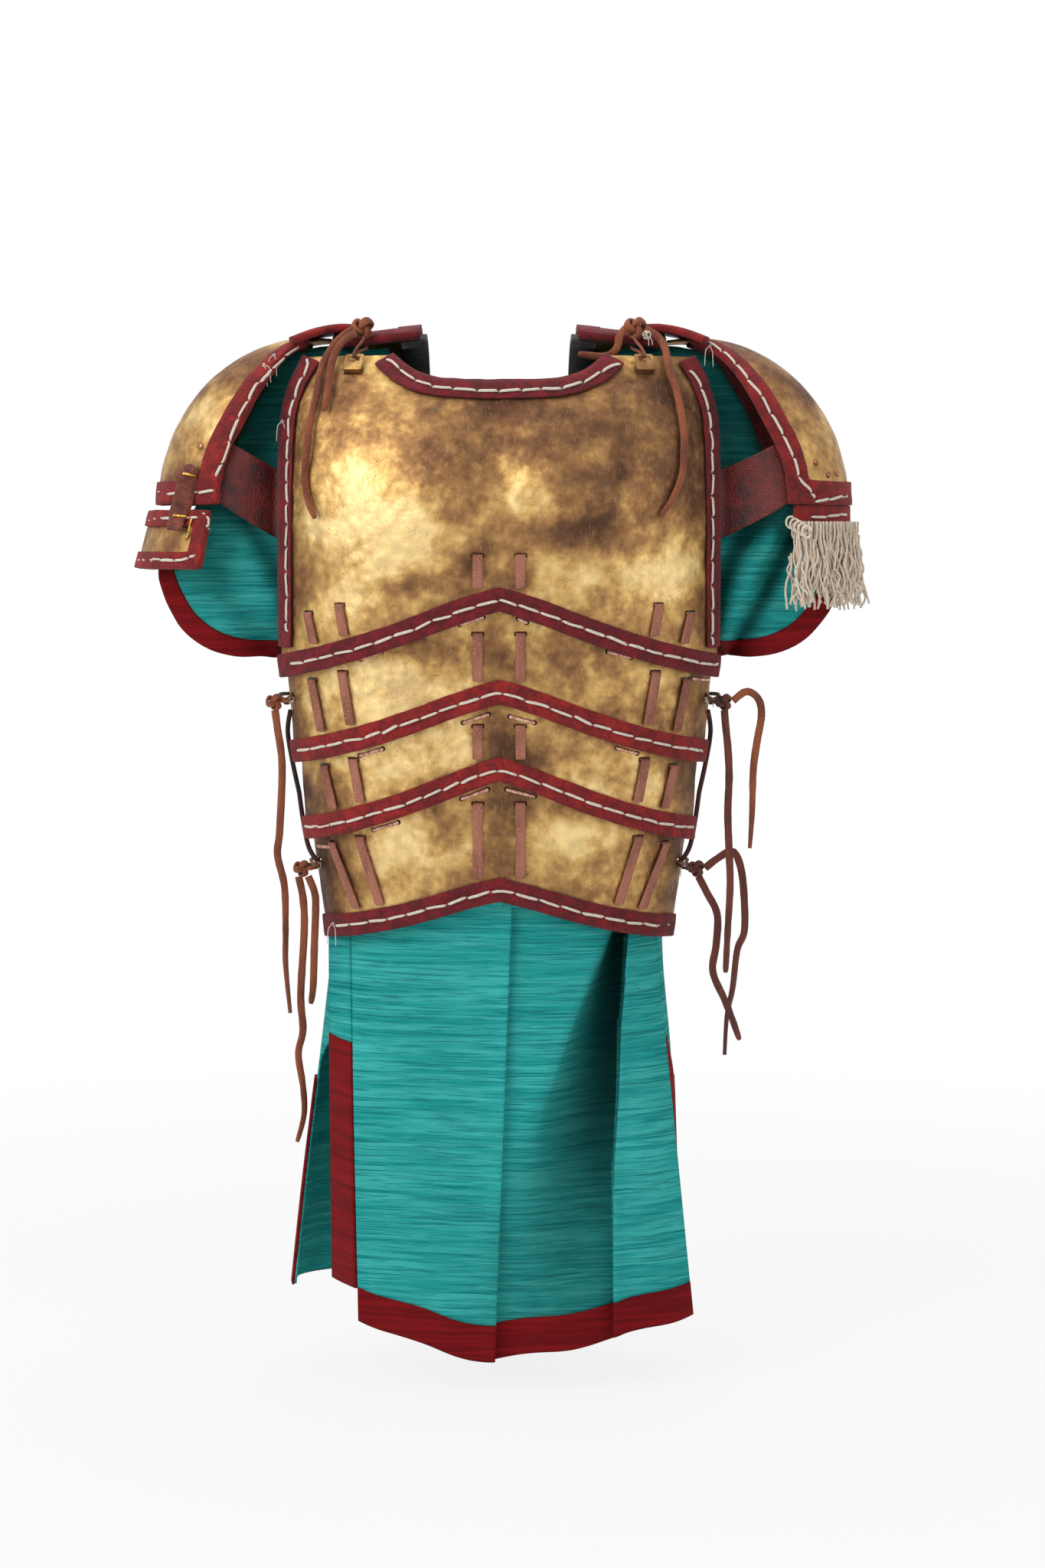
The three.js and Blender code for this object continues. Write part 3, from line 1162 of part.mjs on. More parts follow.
addTunic();
addChest();
addBack();
addPadding();
[1, 2, 3].forEach(addHoop);
sides.forEach(([name, side]) => addShoulder(name, side));
sides.forEach(([name, side]) => addPauldron(name, side));
sides.forEach(([name, side]) => addArmStrap(name, side));
addArmLame();
addFringe();
addFreeEnds();

export default armour;
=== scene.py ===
# Laced bronze age armour over its tunic, in metres: front towards -Y, the wearer's left on +X
import bmesh
import bpy
import json
import random
from math import atan2, cos, exp, hypot, pi, radians, sin, sqrt
from mathutils import Matrix, Vector, noise
from mathutils.bvhtree import BVHTree
from mathutils.kdtree import KDTree

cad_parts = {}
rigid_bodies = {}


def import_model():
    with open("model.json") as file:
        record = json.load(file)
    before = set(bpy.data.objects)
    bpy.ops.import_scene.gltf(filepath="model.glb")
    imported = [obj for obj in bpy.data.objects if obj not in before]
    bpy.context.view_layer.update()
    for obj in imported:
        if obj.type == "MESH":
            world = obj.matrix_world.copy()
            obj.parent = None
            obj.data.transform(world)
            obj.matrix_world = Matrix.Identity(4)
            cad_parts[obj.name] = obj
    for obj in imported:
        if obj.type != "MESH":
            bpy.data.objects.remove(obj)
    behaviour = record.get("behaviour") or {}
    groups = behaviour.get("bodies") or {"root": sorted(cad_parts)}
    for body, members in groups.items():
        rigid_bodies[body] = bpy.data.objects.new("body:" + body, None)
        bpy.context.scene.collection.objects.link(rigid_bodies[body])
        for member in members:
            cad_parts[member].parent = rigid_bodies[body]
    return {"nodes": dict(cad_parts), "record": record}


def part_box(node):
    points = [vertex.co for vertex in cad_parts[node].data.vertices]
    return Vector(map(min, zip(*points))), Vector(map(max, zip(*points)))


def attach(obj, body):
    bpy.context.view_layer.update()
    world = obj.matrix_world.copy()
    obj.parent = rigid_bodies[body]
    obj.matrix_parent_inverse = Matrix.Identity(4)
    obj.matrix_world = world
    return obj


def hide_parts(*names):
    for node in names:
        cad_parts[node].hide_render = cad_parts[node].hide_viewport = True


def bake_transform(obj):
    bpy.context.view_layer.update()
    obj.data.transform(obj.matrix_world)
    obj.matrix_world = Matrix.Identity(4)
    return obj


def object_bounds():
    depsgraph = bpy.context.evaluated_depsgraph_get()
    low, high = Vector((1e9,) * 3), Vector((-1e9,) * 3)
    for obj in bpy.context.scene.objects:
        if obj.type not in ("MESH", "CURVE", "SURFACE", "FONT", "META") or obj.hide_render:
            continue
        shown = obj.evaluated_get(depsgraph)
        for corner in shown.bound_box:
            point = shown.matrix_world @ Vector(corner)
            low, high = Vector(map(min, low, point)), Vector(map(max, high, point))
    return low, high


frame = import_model()
solid_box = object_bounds()

# Viewpoint: straight in front of the breast, as far off as the picture's perspective tells.
# A place in the 1365 by 2048 picture becomes a point in space at a given distance behind the origin.
picture_width, picture_height = 1365, 2048
stand_off, eye_height, focal_pixels = 2.63, -0.175, 3906
aim_x, aim_y = 652, 700
lens = bpy.data.cameras.new("viewpoint")
lens.sensor_fit = "VERTICAL"
lens.sensor_height = 36
lens.lens = focal_pixels * lens.sensor_height / picture_height
lens.shift_x = (picture_width / 2 - aim_x) / picture_height
lens.shift_y = (aim_y - picture_height / 2) / picture_height
lens.clip_end = 60
viewpoint = bpy.data.objects.new("viewpoint", lens)
viewpoint.location = (0, -stand_off, eye_height)
viewpoint.rotation_euler = (pi / 2, 0, 0)
bpy.context.scene.collection.objects.link(viewpoint)
bpy.context.scene.camera = viewpoint


def seen(across, down, depth=-0.1):
    scale = (stand_off + depth) / focal_pixels
    return Vector(((across - aim_x) * scale, depth, (aim_y - down) * scale + eye_height))


# Loose ends of the ties: soft orange-brown thongs a few millimetres wide, knotted at the shoulders and
# sides and left to hang. Each is a cut strip with square edges that turns over a little on its way down.
end_width, end_thick = 0.0065, 0.0034
loose_ends = {
    "right_shoulder_end_long": [
        (-0.1263, -0.044, 0.004), (-0.139, -0.049, -0.006), (-0.149, -0.053, -0.021),
        (-0.154, -0.062, -0.036), (-0.156, -0.071, -0.054), (-0.162, -0.081, -0.082),
        (-0.163, -0.085, -0.095), (-0.165, -0.088, -0.124), (-0.162, -0.093, -0.145),
        (-0.156, -0.098, -0.16),
    ],
    "right_shoulder_end_short": [
        (-0.124, -0.0485, 0), (-0.134, -0.056, -0.007), (-0.142, -0.06, -0.02),
        (-0.145, -0.067, -0.036), (-0.147, -0.076, -0.054), (-0.149, -0.083, -0.068),
    ],
    "left_shoulder_end_long": [
        (0.1263, -0.044, 0.004), (0.137, -0.049, -0.003), (0.143, -0.054, -0.014),
        (0.146, -0.064, -0.033), (0.152, -0.072, -0.051), (0.157, -0.083, -0.083),
        (0.157, -0.09, -0.103), (0.155, -0.096, -0.124), (0.146, -0.104, -0.145),
        (0.137, -0.109, -0.157),
    ],
    "left_shoulder_end_neck": [
        (0.1097, -0.043, 0.005), (0.104, -0.048, -0.002), (0.102, -0.05, -0.012),
        (0.095, -0.05, -0.019), (0.085, -0.05, -0.02), (0.076, -0.05, -0.019), (0.068, -0.05, -0.018),
    ],
    "right_side_end_1": [
        (-0.193, -0.0549, -0.325), (-0.191, -0.0549, -0.34), (-0.187, -0.054, -0.373),
        (-0.189, -0.054, -0.428), (-0.191, -0.053, -0.45), (-0.185, -0.053, -0.477),
        (-0.184, -0.053, -0.515), (-0.184, -0.053, -0.544), (-0.18, -0.053, -0.586),
    ],
    "right_side_end_3": [
        (-0.174, -0.0357, -0.4704), (-0.17, -0.0365, -0.49), (-0.169, -0.037, -0.517),
        (-0.172, -0.0375, -0.573), (-0.17, -0.0382, -0.603), (-0.174, -0.038, -0.624),
        (-0.17, -0.038, -0.652), (-0.169, -0.038, -0.676), (-0.175, -0.038, -0.7),
    ],
    "right_side_end_3_back": [
        (-0.1655, -0.0375, -0.4701), (-0.16, -0.0377, -0.484), (-0.159, -0.0384, -0.497),
        (-0.16, -0.0407, -0.53), (-0.161, -0.0403, -0.564), (-0.163, -0.0412, -0.58),
    ],
    "left_side_end_1": [
        (0.2014, -0.0549, -0.317), (0.213, -0.0539, -0.309), (0.223, -0.054, -0.315),
        (0.226, -0.054, -0.329), (0.222, -0.054, -0.353), (0.219, -0.053, -0.377),
        (0.218, -0.053, -0.412), (0.216, -0.053, -0.444),
    ],
    "left_side_end_1_back": [
        (0.194, -0.0549, -0.325), (0.195, -0.0549, -0.338), (0.197, -0.055, -0.358),
        (0.198, -0.055, -0.382), (0.197, -0.054, -0.413), (0.198, -0.054, -0.445),
        (0.199, -0.054, -0.475), (0.197, -0.054, -0.513), (0.195, -0.054, -0.551),
    ],
    "left_side_end_3": [
        (0.173, -0.0365, -0.4704), (0.18, -0.0371, -0.484), (0.189, -0.0382, -0.503),
        (0.188, -0.0397, -0.529), (0.185, -0.0403, -0.552), (0.195, -0.0412, -0.576),
        (0.201, -0.042, -0.591), (0.208, -0.042, -0.611),
    ],
    "left_side_end_3_back": [
        (0.1789, -0.0354, -0.463), (0.19, -0.0317, -0.455), (0.203, -0.0314, -0.449),
        (0.21, -0.0337, -0.464), (0.213, -0.0323, -0.492), (0.213, -0.0312, -0.519),
        (0.207, -0.03, -0.535), (0.203, -0.03, -0.568), (0.198, -0.03, -0.593), (0.196, -0.03, -0.626),
    ],
}
dark_ends = ["left_side_end_3", "left_side_end_3_back", "left_side_end_1_back"]
usual_turns = 0.25
hang_turns = {"right_side_end_1": 0.5, "right_side_end_3": 0.4, "left_side_end_1": -0.5,
              "left_side_end_3_back": 0.5}


class Output:
    """One output of a material's nodes: plain sums on it add Math nodes, node() adds any other"""

    def __init__(self, tree, socket=None):
        self.tree = tree
        self.socket = socket

    def node(self, kind, sockets=(), output=0, **settings):
        made = self.tree.nodes.new("ShaderNode" + kind)
        for setting, value in settings.items():
            setattr(made, setting, value)
        for name, value in dict(sockets).items():
            if isinstance(value, Output):
                self.tree.links.new(value.socket, made.inputs[name])
            else:
                made.inputs[name].default_value = value
        return Output(self.tree, made.outputs[output] if made.outputs else None)

    def sum(self, operation, *values):
        return self.node("Math", enumerate(values), operation=operation)

    def __add__(self, other):
        return self.sum("ADD", self, other)

    def __sub__(self, other):
        return self.sum("SUBTRACT", self, other)

    def __rsub__(self, other):
        return self.sum("SUBTRACT", other, self)

    def __mul__(self, other):
        return self.sum("MULTIPLY", self, other)

    __radd__ = __add__
    __rmul__ = __mul__

    def between(self, low, high):
        """A soft step from 0 to 1"""
        return self.node("MapRange", {0: self, 1: low, 2: high}, interpolation_type="SMOOTHSTEP")

    def blend(self, first, second):
        """The first colour where this is 0, the second where it is 1"""
        return self.node("Mix", {0: self, 6: first, 7: second}, 2, data_type="RGBA")

    def place(self, stretch=(1, 1, 1)):
        return self.node("Mapping", {"Vector": self.node("TexCoord", output=3), "Scale": stretch})

    def grain(self, size, detail=2, stretch=(1, 1, 1), rough=0.5):
        sockets = {"Vector": self.place(stretch), "Scale": 1 / size, "Detail": detail, "Roughness": rough}
        return self.node("TexNoise", sockets)

    def cells(self, size, feature):
        return self.node("TexVoronoi", {"Vector": self.place(), "Scale": 1 / size}, feature=feature)

    def threads(self, size, direction, wobble):
        sockets = {"Vector": self.place(), "Scale": pi / (10 * size), "Distortion": wobble, "Detail": 1}
        return self.node("TexWave", sockets, 1, bands_direction=direction)

    def marked(self, name):
        """A value kept on the mesh's points"""
        return self.node("Attribute", output=2, attribute_name=name)


def shade(red, green, blue):
    """A screen colour, 0 to 255, on the even scale that the shader works in"""
    colours = (red, green, blue)
    return tuple(((c / 255 + 0.055) / 1.055) ** 2.4 if c > 10 else c / 3295 for c in colours) + (1,)


def finish(name, paint, **plain):
    """A material: paint gives what varies and the relief, plain gives the sockets that stay the same"""
    material = bpy.data.materials.new(name)
    material.use_nodes = True
    material.node_tree.nodes.clear()
    start = Output(material.node_tree)
    sockets = paint(start)
    height, depth = sockets.pop("relief")
    sockets["Normal"] = start.node("Bump", {"Height": height, "Distance": depth})
    sockets.update({words.replace("_", " "): value for words, value in plain.items()})
    start.node("OutputMaterial", {"Surface": start.node("BsdfPrincipled", sockets)})
    return material


def thong_paint(light, dark):
    """Oiled leather: blotches along the strip, and a paler nap"""

    def paint(start):
        patches = start.grain(0.018, 3, (1, 1, 0.4)).between(0.35, 0.68)
        nap = start.grain(0.0011, 3)
        colour = patches.blend(shade(*light), shade(*dark))
        colour = nap.between(0.5, 0.75).blend(colour, shade(*[min(255, c * 1.25) for c in light]))
        rough = 0.62 + 0.25 * nap
        relief = (nap + 0.6 * patches, 0.0006)
        return {"Base Color": colour, "Roughness": rough, "relief": relief}

    return paint


side_thong = finish("side thong", thong_paint((148, 78, 42), (98, 44, 25)), Sheen_Weight=0.15)
dark_thong = finish("dark side thong", thong_paint((112, 50, 32), (62, 26, 18)), Sheen_Weight=0.15)


def curved(points, step):
    """Evenly spaced points on a smooth curve through a few"""
    points = [Vector(p) for p in points]
    fine = []
    for k in range(len(points) - 1):
        a, b, c, d = (points[min(max(k + n, 0), len(points) - 1)] for n in (-1, 0, 1, 2))
        for t in [n / 10 for n in range(10)]:
            fine.append(0.5 * (2 * b + (c - a) * t + (2 * a - 5 * b + 4 * c - d) * t * t
                               + (3 * b - a - 3 * c + d) * t ** 3))
    fine.append(points[-1])
    reach = [0]
    for a, b in zip(fine, fine[1:]):
        reach.append(reach[-1] + (b - a).length)
    count = max(2, round(reach[-1] / step) + 1)
    even, k = [], 0
    for n in range(count):
        goal = reach[-1] * n / (count - 1)
        while k < len(fine) - 2 and reach[k + 1] < goal:
            k += 1
        share = (goal - reach[k]) / max(reach[k + 1] - reach[k], 1e-9)
        even.append(fine[k].lerp(fine[k + 1], min(share, 1)))
    return even


def length_of(path):
    return sum((b - a).length for a, b in zip(path, path[1:]))


def swept(path, ring, outs):
    """A closed tube along a path: ring(t) gives its section's steps across and outwards"""
    points, faces = [], []
    last = len(path) - 1
    for k, place in enumerate(path):
        along = (path[min(k + 1, last)] - path[max(k - 1, 0)]).normalized()
        out = outs[k] if isinstance(outs, list) else outs
        out = (out - along * out.dot(along)).normalized()
        across = along.cross(out)
        points.append([place + across * a + out * b for a, b in ring(k / last)])
    around = len(points[0])
    for k in range(last):
        for n in range(around):
            m = (n + 1) % around
            faces.append((k * around + n, (k + 1) * around + n, (k + 1) * around + m, k * around + m))
    faces.append(tuple(range(around)))
    faces.append(tuple(reversed(range(last * around, (last + 1) * around))))
    return [p for row in points for p in row], faces


def oval(width, thick, count=12, turn=0, square=2.6):
    """Section of a strip with softly squared edges"""
    ring = []
    for n in range(count):
        angle = 2 * pi * (n + 0.5) / count
        c, s = cos(angle), sin(angle)
        reach = (abs(c) ** square + abs(s) ** square) ** (-1 / square)
        a, b = reach * c * width / 2, reach * s * thick / 2
        ring.append((a * cos(turn) - b * sin(turn), a * sin(turn) + b * cos(turn)))
    return ring


def mesh_piece(name, parts, material, smooth=True):
    """One mesh object from several lists of points and faces"""
    points, faces = [], []
    for some_points, some_faces in parts:
        faces.extend(tuple(n + len(points) for n in face) for face in some_faces)
        points.extend(some_points)
    mesh = bpy.data.meshes.new(name)
    mesh.from_pydata([tuple(p) for p in points], [], faces)
    mesh.update()
    if smooth:
        mesh.shade_smooth()
    mesh.materials.append(material)
    made = bpy.data.objects.new(name, mesh)
    bpy.context.scene.collection.objects.link(made)
    return made


body_of = {n: body for body, nodes in frame["record"]["behaviour"]["bodies"].items() for n in nodes}
front = Vector((0, -1, 0))


def stands_for(piece, *nodes):
    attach(piece, body_of[nodes[0]])
    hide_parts(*nodes)
    return piece


for node, route in loose_ends.items():
    path = curved(route, 0.003)
    turns = hang_turns.get(node, usual_turns)

    def strip(t):
        """Section of a tail: uneven along its length, tapered at the cut, turning over towards the end"""
        ragged = 1 + 0.09 * noise.noise(Vector((t * len(path) / 3, len(path), 0)))
        tip = min(1, 0.5 + (1 - t) * len(path) / 2.5)
        return oval(end_width * ragged * tip, end_thick * ragged, 12, turns * pi * t * t)

    tail = mesh_piece(node.replace("_end", "_thong"), [swept(path, strip, front)],
                      dark_thong if node in dark_ends else side_thong)
    stands_for(tail, node)
    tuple(route[0])
    length_of(path)

# Tunic: a short-sleeved shirt of slubby teal cloth with open side seams below the waist. The front of the
# skirt hangs in a flat panel with a creased middle and one deep fold, and overlaps the back panel.

# The body in its armour: half width and depths, and their shares at each share of the torso's height
torso_height = 0.52
half_width, front_depth, back_depth = 0.203, 0.13, 0.112
section_power = 2.3
half_width_shares = [
    (0, 0.945), (0.05, 0.955), (0.115, 0.98), (0.21, 1), (0.33, 1), (0.44, 0.995), (0.58, 0.98),
    (0.68, 0.956), (0.72, 0.942), (0.8, 0.93), (0.85, 0.921), (0.98, 0.872), (1.1, 0.85),
]
front_depth_shares = [
    (0, 0.36), (0.048, 0.54), (0.115, 0.75), (0.21, 0.94), (0.33, 1), (0.44, 0.985), (0.58, 0.955),
    (0.71, 0.93), (0.85, 0.9), (1, 0.85),
]
back_depth_shares = [(0, 0.9), (0.115, 0.92), (0.25, 1), (0.4, 1), (0.58, 0.94), (0.77, 0.9), (1, 0.9)]

# The cloth, and the heights of the skirt's edges
tunic_inset, skirt_clear = 0.034, 0.001
cloth_thick, band_thick, facing_thick, facing_off = 0.0018, 0.0026, 0.0024, 0.0021
skirt_top, skirt_start, front_hem, back_hem = -0.532, -0.462, -0.844, -0.806
front_band, back_band, sleeve_band = 0.031, 0.025, 0.018
slit_top, slit_foot, facing_share, wrap_share, joined_share = -0.607, -0.819, 0.075, 1.02, 1.13
right_return_edge, right_return_back, left_return_back, return_swell = (-0.148, -0.144), -0.03, -0.02, 0.0025

# The front panel: its lines at the waist and the hem, its crease, its flare and its deep fold
panel_crease, panel_left, panel_right = (0.008, -0.004), (-0.1275, -0.121), (0.136, 0.164)
crease_high, crease_wide, crease_sink, sink_wide = 0.0035, 0.006, 0.0045, 0.035
hem_rise, hip_flare, front_flare, ripple_pitch, ripple_high = 0.028, 0.042, 0.012, 0.07, 0.0036
fold_at, fold_turn, fold_lap, fold_slack, fold_ridge, ridge_wide = 0.62, 0.02, 0.007, 0.0015, 0.0025, 0.005
fold_edges = [(-0.1, 0.1135), (0.22, 0.1044), (0.42, 0.1018), (0.6, 0.098), (1.2, 0.098)]
fold_deeps = [(-0.1, 0.055), (0.25, 0.05), (0.5, 0.034), (0.8, 0.016), (1.1, 0.009)]

# The sleeves: middle places of root and hem, half sizes, and the slanting folds on their fronts as
# lines from place to place with the folds' push, spread and distance from the line
sleeve_root, sleeve_hem = (0.1, -0.052), (0.234, -0.224)
sleeve_half, sleeve_deep, sleeve_bulge = 0.066, 0.052, 0.032
sleeve_start_side, sleeve_start_sweep = 0.134, 0.24
sleeve_half_shares = [(0, 0.6), (0.3, 0.88), (0.6, 1), (1, 1)]
sleeve_top_shares = [(-0.15, 0.5), (-0.1, 0.66), (0, 1.06), (0.07, 1.26),
                     (0.15, 1.37), (0.35, 1.27), (0.6, 1.06), (1, 1)]
sleeve_ridges = {
    1: [((0.2355, -0.175), (0.189, -0.262),
         [(-0.016, 0.0085, 0), (0.017, 0.0055, -0.019), (0.016, 0.006, 0.02)])],
    -1: [((-0.225, -0.15), (-0.165, -0.245), [(0.009, 0.006, 0), (-0.007, 0.009, 0.016)]),
         ((-0.25, -0.2), (-0.205, -0.27), [(0.005, 0.007, 0)])],
}
sleeve_deep_shares = [(-0.15, 0.5), (0, 0.6), (0.6, 0.68), (0.75, 0.72), (1, 1)]


def follow(shares, at):
    """Reads a table of (place, value) at a place in between"""
    for (x0, y0), (x1, y1) in zip(shares, shares[1:]):
        if at <= x1:
            t = min(max((at - x0) / (x1 - x0), 0), 1)
            return y0 + (y1 - y0) * t
    return shares[-1][1]


def mix(a, b, t):
    return a + (b - a) * t


def ease(t):
    t = min(max(t, 0), 1)
    return t * t * (3 - 2 * t)


def bell(x, spread):
    return exp(-0.5 * (x / spread) ** 2)


def section_reach(angle, half, deep):
    """How far the body's squarish oval section reaches at an angle"""
    p = section_power
    return (abs(sin(angle) / half) ** p + abs(cos(angle) / deep) ** p) ** (-1 / p)


waist_share = -skirt_top / torso_height
waist_half = half_width * follow(half_width_shares, waist_share) - tunic_inset
waist_front = front_depth * follow(front_depth_shares, waist_share) - tunic_inset
waist_back = back_depth * follow(back_depth_shares, waist_share) - tunic_inset


def front_skirt(u, v):
    """The front panel: u runs from edge to edge over the crease and the deep fold, v from waist to hem"""
    crease, edge = mix(*panel_crease, v), follow(fold_edges, v)
    left, right = mix(*panel_left, v), mix(*panel_right, v)
    reach, deep_fold = 0.022 + 0.1 * max(v, -0.1), follow(fold_deeps, v)
    ready = ease((v + 0.2) / 0.12)
    inwards, sideways = 0.0, 0.0
    if u < 0:
        x = mix(crease, left, -u)
        inwards = -crease_high * bell(x - crease, crease_wide)
        sideways = fold_slack * bell(x - crease, crease_wide / 2)
    elif u < fold_at:
        x = mix(crease, edge, u / fold_at)
        inwards = crease_sink * (1 - ease((x - crease) / sink_wide))
        t = min(max((x - edge + reach) / reach, 0), 1)
        sunk = mix(1 - (1 - t) ** 3, ease(t), ease(v * 1.5))
        inwards += deep_fold * sunk * ready
        sideways = fold_lap * t ** 8 * ready
    else:
        x = edge
        t = (u - fold_at) / fold_turn
        if t < 1:
            inwards = deep_fold * (1 - ease(t)) * ready
            sideways = (fold_lap * (1 - t) - fold_slack * sin(pi * t)) * ready
        else:
            x = mix(edge, right, (u - fold_at - fold_turn) / (1 - fold_at - fold_turn))
            inwards = -fold_ridge * bell(x - edge, ridge_wide) * ready
    z = skirt_top - v * ((skirt_top - front_hem) - hem_rise * abs(u) ** 1.5)
    eased = min(1, max(v, 0) * 2.5) ** 1.5
    half = waist_half + skirt_clear + hip_flare * max(min(v, 1.1), -0.1)
    deep = waist_front + skirt_clear + front_flare * eased
    y = -deep * (1 - min(abs(x) / half, 0.999) ** section_power) ** (1 / section_power)
    swell = ripple_high * cos(x / ripple_pitch * pi)
    soft = 0.0024 * noise.noise(Vector((x * 16, v * 1.6, 3)))
    soft += 0.0013 * noise.noise(Vector((x * 40, v * 7, 9)))
    hem_wave = 0.0035 * sin(x * 52 + 1.3) * ease((v - 0.6) / 0.5)
    y += inwards + (hem_wave + soft - swell) * min(eased, 1)
    return Vector((x + sideways, y, z + 0.0018 * sin(x * 70) * v))


def back_half(side, v):
    """Half width of the back panel, which flares more on the wearer's right"""
    if side < 0:
        return waist_half + 0.004 + 0.031 * v
    return waist_half + skirt_clear + 0.0055 * ease(v / 0.4) + 0.006 * v


def back_skirt(u, v, beyond=0.0):
    """The back panel: u runs round from hip to hip, v from waist to hem"""
    angle = u * pi / 2
    eased = min(1, max(v, 0) * 2) ** 1.3
    behind = cos(angle) > 0
    deep = waist_back + 0.012 * v if behind else waist_front - 0.008 * eased
    pleats = 0.004 * cos(angle * 9) * eased if behind else 0
    reach = section_reach(angle, back_half(u, v), deep + skirt_clear) + pleats
    reach += 0.0015 * noise.noise(Vector((u * 5, v * 2, 5))) * eased + beyond
    return Vector((reach * sin(angle), reach * cos(angle), skirt_top - v * (skirt_top - back_hem)))


def side_return(side, w, z):
    """The front of the skirt turned back round the hip, to its open edge"""
    v = (skirt_top - z) / (skirt_top - front_hem)
    inner = front_skirt(side, v)
    if side < 0:
        outer = Vector((mix(*right_return_edge, v), right_return_back, z))
    else:
        outer = Vector((inner.x - 0.006 + 0.0105 * bell(v - 0.37, 0.12), left_return_back, z))
    place = inner.lerp(outer, w)
    place.z = z - 0.007 * (1 - w) * (1 - ease(v * 1.5))
    return place + Vector((side * return_swell * sin(pi * w), return_swell * sin(pi * w), 0))


def ridge_depth(side, place):
    """How deep a place on the front of a sleeve lies in its slanting folds"""
    depth = 0
    for (x0, z0), (x1, z1), folds in sleeve_ridges[side]:
        run = Vector((x1 - x0, z1 - z0)).normalized()
        away = (place.x - x0) * run.y - (place.z - z0) * run.x
        depth += sum(push * bell(away - off, spread) for push, spread, off in folds)
    return depth


def sleeve(side, angle, t, beyond=0):
    """A place on a sleeve: angle 0 is its top line, t runs from the shoulder to the hem"""
    axis = Vector((side * (sleeve_hem[0] - sleeve_root[0]), 0, sleeve_hem[1] - sleeve_root[1])).normalized()
    centre = Vector((side * mix(sleeve_root[0], sleeve_hem[0], t), 0, mix(sleeve_root[1], sleeve_hem[1], t)))
    wide = Vector((-side * axis.z, 0, side * axis.x))
    w, d = cos(angle), sin(angle)
    folds = 0.0042 * noise.noise(Vector((w * 3.2 + side * 7, d * 3.2, t * 1.4))) * ease(t * 1.6)
    folds += 0.0022 * sin(5 * angle + 5 * t + side) * ease(t * 1.4)
    half = follow(sleeve_half_shares, t)
    if w > 0:
        half = mix(half, follow(sleeve_top_shares, t), w)
    place = (centre + wide * (w * (sleeve_half * half + folds))
             + axis * (sleeve_bulge * t ** 2 * (1 - w * w) + beyond)
             + Vector((0, d * (sleeve_deep * follow(sleeve_deep_shares, t) + folds), 0)))
    if d < 0:
        place.y += ridge_depth(side, place) * min(1, -2 * d) * ease(t * 1.5)
    return place


def sleeve_start(angle):
    """Where a sleeve begins inside the bodice, further in along its top"""
    return sleeve_start_side - sleeve_start_sweep * cos(angle)


def sleeve_shade(side, place):
    """Painted shade on a sleeve: a little all over, more under the cap and in the slanting folds on its front
    """
    under_cap = 0.45 * (1 - ease((-0.08 - place.z) / 0.13))
    in_fold = 35 * max(0, ridge_depth(side, place)) if place.y < 0 else 0
    return min(1, 0.15 + under_cap + in_fold)


def cloth_paint(light, dark, streak, band=False):
    """Hand-woven cloth: level slubs, a fine weave, soiling, and painted shade in its folds and under the
    shoulder caps
    """

    def paint(start):
        slubs = start.grain(0.011, 3, (0.3, 0.3, 13), 0.6)
        long_slubs = start.grain(0.02, 2, (0.22, 0.22, 13), 0.55)
        shed = start.grain(0.03, 3, (0.3, 0.3, 7))
        weft = start.threads(0.00075, "Z", 1.5)
        warp = start.threads(0.0009, "X", 1.5)
        weave = weft * 0.6 + warp * 0.4
        colour = shed.between(0.38, 0.62).blend(shade(*dark), shade(*light))
        lines = start.sum("MAXIMUM", slubs.between(0.52, 0.64) * 0.7, long_slubs.between(0.55, 0.64) * 0.75)
        colour = (lines * (0.35 if band else 1)).blend(colour, shade(*streak))
        bright = start.grain(0.012, 2, (0.35, 0.35, 9)).between(0.6, 0.72)
        pale = shade(*[min(c * 1.35 + 12, 255) for c in light])
        colour = (bright * (0.1 if band else 0.22)).blend(colour, pale)
        colour = (weave.between(0.2, 0.75) * -0.3 + 0.3).blend(colour, shade(*streak))
        soil = start.grain(0.09, 2).between(0.3, 0.75)
        colour = (soil * 0.22).blend(colour, shade(*[c * 0.75 for c in dark]))
        # Painted shade: the shaded mark darkens the cloth in the deep fold of the skirt and on the sleeves,
        # under the caps and in their folds
        colour = (start.marked("shaded") * 0.92).blend(colour, shade(*[c * 0.35 for c in streak]))
        height = weave * 0.4 + (slubs * 0.15 if band else slubs * 0.7 + long_slubs * 0.4)
        return {"Base Color": colour, "Roughness": 0.86 - 0.1 * weave, "relief": (height, 0.0009)}

    return paint


teal_cloth = finish("teal cloth", cloth_paint((80, 216, 209), (42, 186, 181), (8, 122, 125)),
                    Specular_IOR_Level=0.15)
red_cloth = finish("red band cloth", cloth_paint((156, 18, 24), (126, 9, 16), (92, 4, 10), True),
                   Specular_IOR_Level=0.2)


def cloth_between(name, place, columns, rows, material, thick=cloth_thick, loop=False, cut_out=None):
    """A sheet of cloth of even thickness from a grid of places; cut_out is below 1 inside a hole"""
    grid = [[place(c, r) for r in rows] for c in columns]
    across, down = len(columns), len(rows)
    points = [p for column in grid for p in column]
    faces, rim = [], set()
    for i in range(across if loop else across - 1):
        for j in range(down - 1):
            a, b = i * down + j, ((i + 1) % across) * down + j
            inside = [n for n in (a, a + 1, b + 1, b) if cut_out and cut_out(points[n]) < 1]
            if not inside:
                faces.append((a, a + 1, b + 1, b))
            else:
                rim.update((a, a + 1, b + 1, b))
    for n in rim:
        near = cut_out(points[n])
        if near >= 1:
            points[n] = Vector((points[n].x / near, points[n].y, points[n].z / near))
    used = {n: k for k, n in enumerate(sorted({n for face in faces for n in face}))}
    faces = [tuple(used[n] for n in face) for face in faces]
    made = mesh_piece(name, [([points[n] for n in used], faces)], material)
    solid = made.modifiers.new("thickness", "SOLIDIFY")
    solid.thickness = thick
    solid.offset = 0
    return settled(made)


